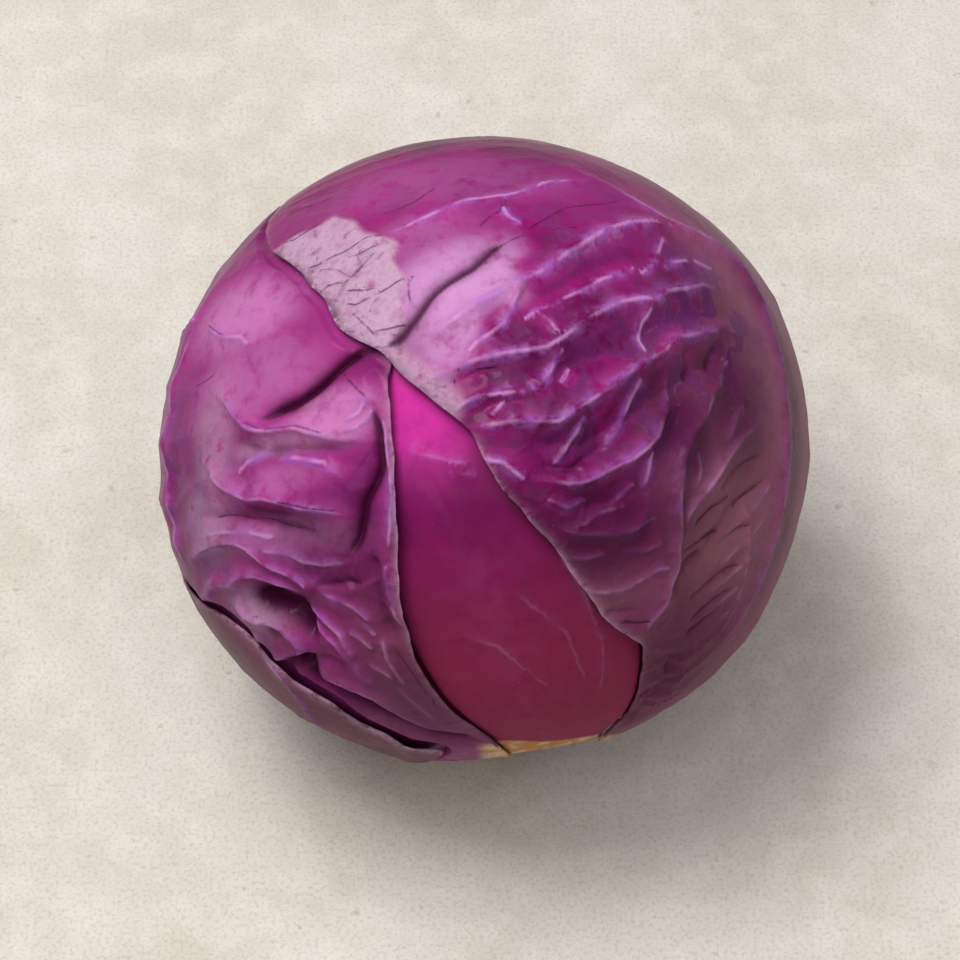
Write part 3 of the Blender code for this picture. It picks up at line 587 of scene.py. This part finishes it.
def crumpled(name, way):
    """How strongly a leaf is crumpled, from 0 to about 1, and more on the right leaf's puckered tail."""
    even, *rows = CRUMPLE[name]
    strength = even + 0.65 * ovals(way, *rows)
    return strength + 2.4 * patch(way, 43, -54, 7, 9) if name == "right_leaf" else strength


def right_zones(way):
    """Pale bloom beside the pucker with a painted highlight, dry papery margin, and the dull weathered lower
    right, whose oval at the right limb is painted shade.
    """
    gap, side, _ = line_distance(way, BLOOM_EDGE)
    west = ramp(-gap * side + 2.5 * swell(way, 7.0, 91), -4.0, 4.0)
    pale = west * ovals(way, (1, 0, 27, 13, 10, 20), (0.8, -1, 17, 9, 7, 20), (0.5, -6, 38, 14, 9))
    pale = np.maximum(pale, ovals(way, (0.46, -6, 55, 30, 10)))
    gap, side, _ = line_distance(way, PAPER_EDGE)
    dry = (ramp(-gap * side + 0.8 * swell(way, 5.0, 93), -0.9, 0.9)
           * ramp(way @ direction(-25, 33), math.cos(0.46), math.cos(0.36)))
    gap, _, _ = line_distance(way, PAPER_TIP)
    dry = np.maximum(dry, 0.8 * ramp(6.0 - gap, 0.0, 4.0))
    # The oval at longitude 80 darkens the right limb as painted shade.
    dull = ovals(way, (1, 47, -22, 15, 24), (1, 57, 8, 7, 24), (1, 40, -46, 14, 14), (0.7, 20, -26, 14, 9),
                 (0.8, 80, -30, 14, 40), (0.2, 55, 30, 8, 8))
    return pale, dry, dull


def left_zones(way):
    """Lavender shoulders between the creases with a painted highlight where they are lit, beige blushes near
    the limb and the dull lower part.
    """
    pale = ovals(way, (0.65, -40, 18, 16, 8), (0.9, -24, 9, 9, 5), (0.6, -36, 0, 10, 3),
                 (0.9, -48, 30, 14, 8))
    dry = ovals(way, (0.40, -51, 8, 5, 9), (0.40, -56, -5, 6, 5), (0.2, -38, -9, 12, 2.5, -8),
                (0.45, -52, -22, 6, 4), (0.35, -38, 5.5, 12, 1.5), (0.2, -25, -49, 9, 7))
    dull = ovals(way, (1, -22, -40, 10, 17), (0.6, -60, -24, 16, 9), (0.5, -110, -50, 30, 18),
                 (0.8, -22, -52, 12, 9))
    return pale, dry, dull


def front_zones(way):
    """Painted light at the top of the gap, and dull wine red towards the stem."""
    return patch(way, -9, 9, 9, 10), np.zeros(len(way)), ramp(-way[:, 2], 0.15, 0.65)


def plain_zones(way):
    """The leaves that are less seen: faint bloom and dull clouds, nothing dry."""
    pale = 0.25 * np.maximum(swell(way, 30, 71), 0)
    return pale, np.zeros(len(way)), 0.4 * ramp(swell(way, 24, 72), -0.5, 0.8)


ZONES = {"right_leaf": right_zones, "left_leaf": left_zones, "front_leaf": front_zones}


def trimmed(way):
    """Pale flesh where the knife has taken the leaf stalks off level with the stump."""
    level = ramp(-way[:, 2] - 0.078 * way[:, 0] + 0.018 * patch(way, -13, -65, 6, 4), 0.910, 0.918)
    front = ramp(0.50 - way[:, 0], 0.0, 0.15) * ramp(way[:, 0], -0.16, -0.11)
    return level * np.maximum(front, ramp(way[:, 1], -0.2, 0.1))


# ---- sizes and colours a user may change ----
def linear(code):
    """sRGB hex to the linear colour that a shader takes."""
    channels = [int(code[i:i + 2], 16) / 255.0 for i in (0, 2, 4)]
    return tuple(c / 12.92 if c <= 0.04045 else ((c + 0.055) / 1.055) ** 2.4 for c in channels)


def size_prop(name, text, value):
    return bpy.props.FloatProperty(name=name, description=text, default=value, unit="LENGTH",
                                   subtype="DISTANCE")


def colour_prop(name, text, code):
    return bpy.props.FloatVectorProperty(name=name, description=text, default=linear(code), subtype="COLOR",
                                         size=3, min=0.0, max=1.0)


class CabbageSizes(bpy.types.PropertyGroup):
    head_radius: size_prop("Head radius", "Half the head's width", HEAD_RADIUS)
    blade: size_prop("Blade", "Thickness of a wrapper leaf away from its margin", 0.0010)
    lap: size_prop("Lap", "How much deeper a leaf lies under the next one", 0.0017)
    lap_out: size_prop("Lap start", "How far outside a margin the leaf below starts to dive", 0.0007)
    lap_edge: size_prop("Lap width", "Width over which the leaf below dives", 0.0022)
    heart_radius: size_prop("Heart radius", "Radius of the tight inner head", 0.0705)
    butt_depth: size_prop("Butt depth", "How far the cut stump stands out of the heart", 0.0090)


class CabbageColours(bpy.types.PropertyGroup):
    body: colour_prop("Leaf", "Red cabbage leaf in plain light", "8C1468")
    shade: colour_prop("Deep leaf", "Darkest part of a leaf", "3E0A30")
    bloom: colour_prop("Wax bloom", "Powdery wax on crests", "C090D0")
    # Also the colour in which the right leaf's bloom carries a painted highlight.
    pale: colour_prop("Pale leaf", "Thick pale leaf near the heart", "C68CC2")
    dry: colour_prop("Dry margin", "Papery dried margin", "C4A0BC")
    dull: colour_prop("Weathered leaf", "Old brownish mauve leaf", "6C3A4E")
    # The heart's dark plum is painted shade: it shows only in the gaps between the leaves.
    inner: colour_prop("Inner leaf", "Fresh magenta of the leaf in the gap", "5A1848")
    flesh: colour_prop("Stem flesh", "Cut stem", "C9AE8C")


class CabbageStage(bpy.types.PropertyGroup):
    camera_distance: size_prop("Camera distance", "From the middle of the head", 0.75)
    camera_elevation: bpy.props.FloatProperty(
        name="Camera elevation", description="Height of the view above level", default=math.radians(55.0),
        subtype="ANGLE", unit="ROTATION")
    floor: colour_prop("Floor", "Pale stone under the head", "DDD9D2")


# ---- meshes ----
def head_centre(sizes):
    """The middle of the head in the table's frame, where the CAD solids are."""
    return (CENTRE_X, CENTRE_Y, rest_depth(sizes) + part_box("lower_leaf")[0][2])


def lay_out(bm, name, spots, sizes):
    """Moves the points to their spots, turned from the growth frame to the table's, and makes the mesh."""
    turned = spots @ np.array(LIE.to_matrix()).T + np.array(head_centre(sizes))
    for vertex, spot in zip(bm.verts, turned):
        vertex.co = spot
    return as_mesh(bm, name)


def as_mesh(bm, name):
    mesh = bpy.data.meshes.new(name)
    bm.to_mesh(mesh)
    bm.free()
    return mesh


def new_piece(name, mesh, slot, material):
    piece = bpy.data.objects.new(name, mesh)
    bpy.context.scene.collection.objects.link(piece)
    mesh.materials.append(material)
    mesh.shade_smooth()
    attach(piece, "root")
    return piece


def give(mesh, name, values):
    """Stores one number a point for the materials to read."""
    mesh.attributes.new(name, "FLOAT", "POINT").data.foreach_set("value", np.asarray(values, np.float32))


def leaf_mesh(leaf, cells_across, sizes):
    """A square grid drawn round to the margin, halved again where folds are small, and laid on the head.

    The points carry what the leaf's material reads, such as how dry or pale the leaf is there."""
    bm = bmesh.new()
    bmesh.ops.create_grid(bm, x_segments=cells_across, y_segments=cells_across, size=1.0)
    middles = np.array([f.calc_center_median()[:2] for f in bm.faces])
    busy = BUSY_SIDE @ leaf.spread_out(middles).T > BUSY_COSINE
    edges = {e for f, wanted in zip(bm.faces, busy) if wanted for e in f.edges}
    bmesh.ops.subdivide_edges(bm, edges=list(edges), cuts=1, use_grid_fill=True)
    way = leaf.spread_out(np.array([v.co[:2] for v in bm.verts]))
    mesh = lay_out(bm, leaf.name + "_blade", way * leaf.radius(way, sizes)[:, None], sizes)

    inside = np.maximum(-leaf.beyond(way, sizes), 0.0) / MM
    relief = (fold_height(way, leaf.main, 0.5, 0.3) + fold_height(way, leaf.fine, 0.4, 0.2)) / MM
    pale, dry, dull = ZONES.get(leaf.name, plain_zones)(way)
    # Painted shade: darker in the creases and in the shade ovals; the violet islands are a painted window
    # reflection.
    hollow = np.maximum(np.maximum(-relief / 2.3, 0.0) ** 1.6, ovals(way, *PAINTED_SHADE_OVALS.get(leaf.name, ())))
    rim = 1.6 if leaf is LOWER else 0.8 + 0.8 * dry
    painted = {
        "pale": pale, "dry": dry, "dull": dull, "crest": np.clip(relief / 2.2, 0, 1),
        "hollow": np.clip(hollow, 0, 1), "film": ovals(way, *WINDOW_REFLECTION_OVALS.get(leaf.name, ())),
        "cut": trimmed(way), "edge": np.exp(-inside / rim)}
    widest = 3.7 if leaf is LEFT else 6.0
    ribs = [f[2] for f in leaf.main + leaf.fine if f[0] > RIB_HEIGHT and f[1] < widest]
    cores = [f[2] for f in leaf.main if f[0] < -CORE_DEPTH and f[1] < 3.5]
    for name, lines, stray in (("rib", ribs, 0.45), ("crack", leaf.cracks, 0.6), ("core", cores, 0.45)):
        painted[name + "_away"], painted[name + "_across"] = nearest_line(way, lines, stray)
    for name, values in painted.items():
        give(mesh, name, values)
    return mesh, inside


def leaf_piece(leaf, cells_across, sizes, material):
    """The leaf as a closed blade that thins towards its margin."""
    mesh, inside = leaf_mesh(leaf, cells_across, sizes)
    piece = new_piece(leaf.name + "_blade", mesh, leaf.name, material)
    thick = piece.vertex_groups.new(name="thick")
    shares = np.round(0.6 + 0.4 * ramp(inside, 0.5, 6.0), 2)
    for part in np.unique(shares):
        thick.add(np.nonzero(shares == part)[0].tolist(), float(part), "REPLACE")
    blade = piece.modifiers.new("blade", "SOLIDIFY")
    blade.thickness, blade.offset = sizes.blade, -1.0
    blade.vertex_group = "thick"
    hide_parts(leaf.name)


# ---- materials ----
def add(tree, kind, *values, out=None, **named):
    """Adds a node and gives its first open output, or the named one. Values go to its open inputs in turn.

    A name with a capital is an input and one without is a property. An input takes an output of another node,
    a number, a colour or a hex code."""
    node = tree.nodes.new("ShaderNode" + kind)
    for key in [key for key in named if key.islower()]:
        setattr(node, key, named.pop(key))
    inputs = list(zip([socket for socket in node.inputs if socket.enabled], values))
    inputs += [(node.inputs[key.replace("_", " ")], value) for key, value in named.items()]
    for socket, value in inputs:
        if isinstance(value, bpy.types.NodeSocket):
            tree.links.new(value, socket)
        elif socket.type == "RGBA":
            socket.default_value = (*(linear(value) if isinstance(value, str) else value[:3]), 1.0)
        else:
            socket.default_value = value
    return node.outputs[out] if out else next(socket for socket in node.outputs if socket.enabled)


def share(tree, *masks):
    """The product of masks from 0 to 1: each a number, an output, or (output, from, to) for a soft step."""
    product = None
    for mask in masks:
        if isinstance(mask, tuple):
            value, start, end = mask
            mask = add(tree, "MapRange", Value=value, From_Min=start, From_Max=end,
                       interpolation_type="SMOOTHSTEP")
        product = mask if product is None else add(tree, "Math", product, mask, operation="MULTIPLY",
                                                   use_clamp=True)
    return product


def layered(tree, colour, *layers):
    """Lays tints over a colour in turn: each is the tint and the masks that it is shared out by."""
    for tint, *masks in layers:
        colour = add(tree, "Mix", share(tree, *masks), colour, tint, data_type="RGBA")
    return colour


def bumpy(tree, shader, *waves):
    """Bumps on top of each other: each is height, strength and depth in mm; one below 0 presses in."""
    below = {}
    for height, strength, depth in waves:
        below["Normal"] = add(tree, "Bump", Height=height, Strength=strength, Distance=abs(depth) * MM,
                              invert=depth < 0, **below)
    tree.links.new(below["Normal"], shader.inputs["Normal"])


def grains(tree, *lumps):
    """The object's own coordinates, and noises on them: each is its size in mm, detail and roughness."""
    place = add(tree, "TexCoord", out="Object")
    return [place] + [
        add(tree, "TexNoise", Vector=place, Scale=1.0 / (size * MM), Detail=detail, Roughness=rough)
        for size, detail, rough in lumps]


def finish(name, settings):
    """A new material with plain settings on its shader."""
    material = bpy.data.materials.new(name)
    material.use_nodes = True
    shader = material.node_tree.nodes["Principled BSDF"]
    for key, value in settings.items():
        shader.inputs[key].default_value = value
    return material, material.node_tree, shader


def waxy_leaf(name, colours, body, shade, pale, dull, gloss, relief):
    """Fresh cabbage leaf: a thick skin under wax, with a painted highlight in lavender on its bloom and
    crests.

    Ribs keep a powdery line of wax with a painted highlight and a painted violet sheen on their flanks;
    painted shade darkens valleys and creases, and violet islands are a painted window reflection. Old cracks
    are dark, and the dry margin is crinkled like paper. The specks of wax are drawn coarser than they are,
    0.6 mm across, so that they show."""
    material, tree, shader = finish(name, {
        "IOR": 1.14, "Specular Tint": (0.85, 0.70, 1.0, 1.0), "Subsurface Weight": 0.06,
        "Subsurface Radius": (1.0, 0.35, 0.7), "Subsurface Scale": 0.9 * MM, "Coat Roughness": 0.10,
        "Coat IOR": 1.33})
    place, blotches, patches, islands, specks, crinkle = grains(
        tree, (16.0, 2.5, 0.50), (4.5, 5.0, 0.62), (7.0, 3.0, 0.50), (0.6, 3.0, 0.60), (2.2, 5.0, 0.70))
    on = {key: add(tree, "Attribute", out="Fac", attribute_name=key) for key in (
        "pale", "dry", "dull", "crest", "hollow", "film", "cut", "edge", "rib_away", "rib_across",
        "crack_away", "crack_across", "core_away", "core_across")}

    def drawn(line, width_mm):
        """1 on the leaf's drawn ribs, cracks or core lines of painted shadow in deep creases, fading to 0 at
        width_mm from them.
        """
        across = add(tree, "Math", on[line + "_across"], operation="ABSOLUTE")
        return share(tree, (across, width_mm, 0.0), (on[line + "_away"], 2.4, 1.0))

    old = share(tree, on["dull"], (patches, 0.10, 0.45))
    fresh = add(tree, "Math", old, -0.85, 1.0, operation="MULTIPLY_ADD")
    light = share(tree, on["pale"], (patches, -0.10, 0.58))
    papery = share(tree, on["dry"], (patches, 0.20, 0.50))
    cracks = share(tree, drawn("crack", 0.42), (crinkle, 0.34, 0.54))
    crack_depth = add(tree, "Math", on["dry"], 0.25, 0.55, operation="MULTIPLY_ADD")
    wide_rim = add(tree, "Math", on["dry"], 2.2, 1.0, operation="MULTIPLY_ADD")

    # Paper veins: the borders of 12 mm cells, bent by up to a few millimetres.
    bend = add(tree, "TexNoise", Vector=place, Scale=1.0 / (7.0 * MM), Detail=3.0, out="Color")
    bent = add(tree, "VectorMath", bend, (5.0 * MM,) * 3, place, operation="MULTIPLY_ADD")
    facets = add(tree, "TexVoronoi", Vector=bent, Scale=1.0 / (12.0 * MM), feature="DISTANCE_TO_EDGE",
                 out="Distance")
    veins = share(tree, (facets, 0.03, 0.0), (papery, 0.35, 0.9), (patches, 0.46, 0.60))
    paper = layered(tree, colours.dry, ("A85C9C", (patches, 0.46, 0.66), 0.45), ("74386A", veins, 0.35))

    colour = layered(
        tree, body,
        (shade, (blotches, 0.38, 0.66), 0.6),
        # Painted shade in the valleys away from the ribs.
        (shade, (on["rib_away"], 1.0, 6.0), 0.55 * relief, (patches, 0.30, 0.60)),
        (dull, old),
        # A painted window reflection: violet rims and dark plum middles of the islands.
        ("7E4C98", (islands, 0.48, 0.52), on["film"], 0.42),
        ("4A1450", (islands, 0.51, 0.55), on["film"], 0.60),
        # Pale bloom, lighter still as a painted highlight.
        (layered(tree, "B83492", (pale, (light, 0.15, 0.85))), light),
        # A painted violet sheen on the ribs' flanks, and a line of wax with a painted highlight on their
        # crests, beige on old skin.
        ("9058B8", drawn("rib", 3.0), (patches, 0.38, 0.62), fresh, 0.58 * relief),
        (layered(tree, "A5867E", ("DC9CD4", fresh)), drawn("rib", 0.8), (islands, 0.38, 0.60), 0.56 * relief),
        # A painted highlight on the crests.
        ("C47CC4", on["crest"], (patches, 0.35, 0.65), 0.24),
        (paper, papery),
        # Painted shade in the creases and shade ovals, and a painted shadow line along the deepest creases.
        ("4A0E38", on["hollow"], 0.97),
        ("3E0A2E", drawn("core", 1.5), 0.85),
        (layered(tree, colours.dry, ("4E3E4A", on["dry"])), on["edge"], wide_rim, (crinkle, 0.30, 0.55),
         0.75),
        (layered(tree, "B47840", (colours.flesh, (patches, 0.40, 0.60))), on["cut"]),
        (layered(tree, shade, ("5E1C58", on["dry"])), cracks, crack_depth),
        (colours.bloom, (specks, 0.70, 0.78), 0.30))
    tree.links.new(colour, shader.inputs["Base Color"])

    powder = add(tree, "Math", papery, light, operation="MAXIMUM")
    matt = gloss
    for mask, more in ((specks, 0.16), (powder, 0.25), (old, 0.10)):
        matt = add(tree, "Math", mask, more, matt, operation="MULTIPLY_ADD")
    tree.links.new(matt, shader.inputs["Roughness"])
    worn = add(tree, "Math", powder, old, operation="MAXIMUM")
    wet = add(tree, "Math", worn, -0.18, 0.20, operation="MULTIPLY_ADD")
    tree.links.new(wet, shader.inputs["Coat Weight"])

    crisp = add(tree, "Math", papery, 0.22 * relief, operation="ADD", use_clamp=True)
    torn = add(tree, "Math", cracks, veins, operation="MAXIMUM")
    bumpy(tree, shader, (specks, 0.25 * relief, 0.15), (patches, 0.50 * relief, 0.9), (crinkle, crisp, 0.9),
          (torn, 0.7, -0.35))
    return material


def cut_flesh(name, colours):
    """Knife-cut cabbage stem: pale fibrous flesh that has browned a little in blotches."""
    material, tree, shader = finish(name, {"Roughness": 0.72})
    _, fibres, stains = grains(tree, (0.8, 4.0, 0.65), (6.0, 3.0, 0.55))
    colour = layered(tree, colours.flesh, ("9A6B43", (stains, 0.35, 0.7)), ("E6D6BC", fibres, 0.4))
    tree.links.new(colour, shader.inputs["Base Color"])
    bumpy(tree, shader, (fibres, 0.6, 0.4))
    return material


def plaster(name, colour):
    """Pale trowelled plaster: cloudy in warm and cool greys, with rubbed spots, sandy grain and pin holes.

    The sand is drawn 1.1 mm across, coarser than it is, so that it shows."""
    material, tree, shader = finish(name, {"Roughness": 0.70, "Specular IOR Level": 0.25})
    _, clouds, smears, grain, holes = grains(
        tree, (60.0, 6.0, 0.62), (14.0, 6.0, 0.68), (1.1, 4.0, 0.70), (6.0, 3.0, 0.60))
    tint = layered(
        tree, colour,
        ("CFC8BB", (clouds, 0.38, 0.62), 0.60),
        ("EAE6DE", (smears, 0.44, 0.64), 0.40),
        ("A0957F", (grain, 0.46, 0.68), 0.34),
        ("A08F70", (holes, 0.66, 0.74), 0.35))
    tree.links.new(tint, shader.inputs["Base Color"])
    bumpy(tree, shader, (grain, 0.55, 0.5), (smears, 0.30, 1.0))
    return material


# ---- operators ----
class CABBAGE_OT_heart(bpy.types.Operator):
    """Models the tight inner head that the wrapper leaves lie on"""
    bl_idname = "cabbage.heart"
    bl_label = "Heart"

    def execute(self, context):
        sizes, colours = context.scene.cabbage_sizes, context.scene.cabbage_colours
        base = 0.0700           # the heart stops here, above the knife's cut
        bm = bmesh.new()
        bmesh.ops.create_uvsphere(bm, u_segments=160, v_segments=100, radius=1.0)
        way = unit(np.array([v.co for v in bm.verts]))
        ribs = fold_height(way, [(0.4, 3.0, [(lon, -60), (lon + 10, -20), (lon + 20, 30), (lon + 22, 70)])
                                 for lon in range(-180, 180, 40)])
        r = sizes.heart_radius * head_shape(way) + ribs - 0.4 * MM
        r = np.minimum(r, base / np.maximum(-way[:, 2], 0.1))
        under = sizes.head_radius - sizes.heart_radius
        r = np.minimum(r, (rest_depth(sizes) - under) / np.maximum(way @ DOWN, 0.3))
        mesh = lay_out(bm, "heart_leaves", way * r[:, None], sizes)
        for name in ("rib", "crack", "core"):
            give(mesh, name + "_away", np.full(len(way), FAR))
            give(mesh, name + "_across", np.full(len(way), FAR))
        # The heart is coloured dark as painted shade in the gaps.
        material = waxy_leaf("fresh inner cabbage leaf", colours, colours.inner, colours.shade, colours.inner,
                             colours.dull, 0.35, 0.6)
        piece = new_piece("heart_leaves", mesh, "heart", material)
        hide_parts("heart")
        return {"FINISHED"}


class CABBAGE_OT_butt(bpy.types.Operator):
    """Models the cut stem with the swellings where leaf stalks joined it"""
    bl_idname = "cabbage.butt"
    bl_label = "Stem butt"

    def execute(self, context):
        sizes, colours = context.scene.cabbage_sizes, context.scene.cabbage_colours
        foot, top, rings, ring_width = 0.0155, 0.0170, 8, 0.0017
        bm = bmesh.new()
        bmesh.ops.create_cone(bm, cap_ends=True, segments=96, radius1=foot, radius2=top,
                              depth=sizes.butt_depth)
        caps = [f for f in bm.faces if len(f.verts) > 4]
        for _ in range(rings):
            bmesh.ops.inset_region(bm, faces=caps, thickness=ring_width, use_even_offset=True)
        bmesh.ops.bevel(bm, geom=[e for e in bm.edges if e.is_manifold and e.calc_face_angle() > 0.8],
                        offset=0.0007, segments=3, profile=0.5, affect="EDGES", material=-1)
        flat = np.array([v.co for v in bm.verts])
        x, y, z = flat.T
        turn = np.arctan2(y, x)
        grow = 1.0 + 0.05 * np.cos(5 * turn) + 0.02 * np.cos(3 * turn + 1.0)
        rough = 0.25 * MM * swell(np.stack([x, y, z * 0], -1) / 0.016, 22.0, 81)
        uneven = np.where(z < 0, np.abs(rough) * ramp(np.hypot(x, y), 0, 0.012), 0)
        spots = np.stack([x * grow, y * grow, z - TRIM + sizes.butt_depth / 2 + uneven], -1)
        mesh = lay_out(bm, "stem_butt_cut", spots, sizes)
        piece = new_piece("stem_butt_cut", mesh, "stem_butt", cut_flesh("cut cabbage stem", colours))
        mesh.set_sharp_from_angle(angle=math.radians(50))
        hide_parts("stem_butt")
        return {"FINISHED"}


class CABBAGE_OT_leaves(bpy.types.Operator):
    """Models the five wrapper leaves, from the outermost one in"""
    bl_idname = "cabbage.leaves"
    bl_label = "Wrapper leaves"

    def execute(self, context):
        sizes, colours = context.scene.cabbage_sizes, context.scene.cabbage_colours
        body, shade, pale, dull = colours.body, colours.shade, colours.pale, colours.dull
        # By leaf: name, colours, roughness, strength of the relief and cells across the grid.
        finishes = {
            "right_leaf": ("ribbed cabbage leaf, waxy", body, shade, pale, linear("8C5868"), 0.30, 1.0, 140),
            "left_leaf": ("creased cabbage leaf, waxy", linear("922E76"), linear("580E4C"), linear("C276B2"),
                          linear("70344F"), 0.36, 0.85, 140),
            "front_leaf": ("fresh smooth cabbage leaf", linear("7E165A"), linear("5C0E42"), linear("C8309A"),
                           linear("86264A"), 0.34, 0.3, 90),
            "lower_leaf": ("dull outer cabbage leaf", linear("70344F"), linear("421634"), dull,
                           linear("6A3048"), 0.42, 0.8, 130),
            "back_leaf": ("outer cabbage leaf at the back", linear("742C5E"), shade, pale, dull, 0.38, 0.8,
                          110),
        }
        for leaf in LEAVES:
            title, *tints, gloss, relief, cells_across = finishes[leaf.name]
            material = waxy_leaf(title, colours, *tints, gloss, relief)
            leaf_piece(leaf, cells_across // (1), sizes, material)
        return {"FINISHED"}


class CABBAGE_OT_stage(bpy.types.Operator):
    """Sets out the pale floor, the soft lights and the camera"""
    bl_idname = "cabbage.stage"
    bl_label = "Stage"

    def execute(self, context):
        scene = context.scene
        settings = scene.cabbage_stage
        centre = Vector(head_centre(scene.cabbage_sizes))
        bm = bmesh.new()
        bmesh.ops.create_grid(bm, x_segments=1, y_segments=1, size=4.0)
        mesh = as_mesh(bm, "floor")
        floor = bpy.data.objects.new("floor", mesh)
        scene.collection.objects.link(floor)
        mesh.materials.append(plaster("pale trowelled plaster", settings.floor))

        warm = (1.0, 0.98, 0.95)
        for name, toward, distance, size, power, colour in (
                ("key", (-0.33, 0.10, 0.94), 1.5, (0.85, 0.65), 17.5, warm),
                ("ceiling", (-0.04, -0.40, 1.0), 1.6, (1.9, 1.9), 15.0, warm),
                ("window", (0.85, 0.30, 0.50), 1.3, (0.26, 0.20), 1.5, (0.72, 0.74, 1.0))):
            lamp = bpy.data.lights.new(name, "AREA")
            lamp.shape, lamp.size, lamp.size_y = "RECTANGLE", size[0], size[1]
            lamp.energy, lamp.color = power, colour
            lit = bpy.data.objects.new(name, lamp)
            scene.collection.objects.link(lit)
            toward = Vector(toward).normalized()
            lit.matrix_world = (Matrix.Translation(centre + toward * distance)
                                @ toward.to_track_quat("Z", "Y").to_matrix().to_4x4())

        # The room is a little lighter above than at the level of the floor.
        world = bpy.data.worlds.new("soft_room")
        world.use_nodes = True
        tree = world.node_tree
        sky = tree.nodes["Background"]
        sky.inputs[0].default_value = (1.0, 0.97, 0.92, 1.0)
        up = add(tree, "SeparateXYZ", add(tree, "TexCoord", out="Generated"), out="Z")
        strength = add(tree, "MapRange", Value=up, From_Min=-0.1, From_Max=1.0, To_Min=0.04, To_Max=0.20)
        tree.links.new(strength, sky.inputs[1])
        scene.world = world
        scene.view_settings.view_transform = "Standard"

        half_view = 0.16        # half the picture's width at a distance of 1
        lens = bpy.data.cameras.new("camera")
        lens.sensor_width = 36.0
        lens.lens = lens.sensor_width / (2.0 * half_view)
        camera = bpy.data.objects.new("camera", lens)
        scene.collection.objects.link(camera)
        turn = Matrix.Rotation(math.pi / 2 - settings.camera_elevation, 3, "X")
        aim = Vector((2.0 / 3000.0, 28.0 / 3000.0, -1.0)).normalized() * settings.camera_distance
        camera.matrix_world = Matrix.Translation(centre - turn @ aim) @ turn.to_4x4()
        scene.camera = camera
        return {"FINISHED"}


class CABBAGE_PT_panel(bpy.types.Panel):
    """Sizes, colours and build steps of the cabbage"""
    bl_idname = "CABBAGE_PT_panel"
    bl_label = "Red Cabbage Head"
    bl_space_type = "VIEW_3D"
    bl_region_type = "UI"
    bl_category = "Cabbage"

    def draw(self, context):
        scene = context.scene
        for group in (scene.cabbage_sizes, scene.cabbage_colours, scene.cabbage_stage):
            box = self.layout.box()
            for key in group.__annotations__:
                box.prop(group, key)
        for step in ("heart", "butt", "leaves", "stage"):
            self.layout.operator("cabbage." + step)


CLASSES = (CabbageSizes, CabbageColours, CabbageStage, CABBAGE_OT_heart, CABBAGE_OT_butt, CABBAGE_OT_leaves,
           CABBAGE_OT_stage, CABBAGE_PT_panel)


def register():
    for cls in CLASSES:
        bpy.utils.register_class(cls)
    bpy.types.Scene.cabbage_sizes = bpy.props.PointerProperty(type=CabbageSizes)
    bpy.types.Scene.cabbage_colours = bpy.props.PointerProperty(type=CabbageColours)
    bpy.types.Scene.cabbage_stage = bpy.props.PointerProperty(type=CabbageStage)


def unregister():
    del bpy.types.Scene.cabbage_stage
    del bpy.types.Scene.cabbage_colours
    del bpy.types.Scene.cabbage_sizes
    for cls in reversed(CLASSES):
        bpy.utils.unregister_class(cls)


def main():
    register()
    bpy.ops.cabbage.heart()
    bpy.ops.cabbage.butt()
    bpy.ops.cabbage.leaves()
    bpy.ops.cabbage.stage()
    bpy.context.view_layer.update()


if __name__ == "__main__":
    main()
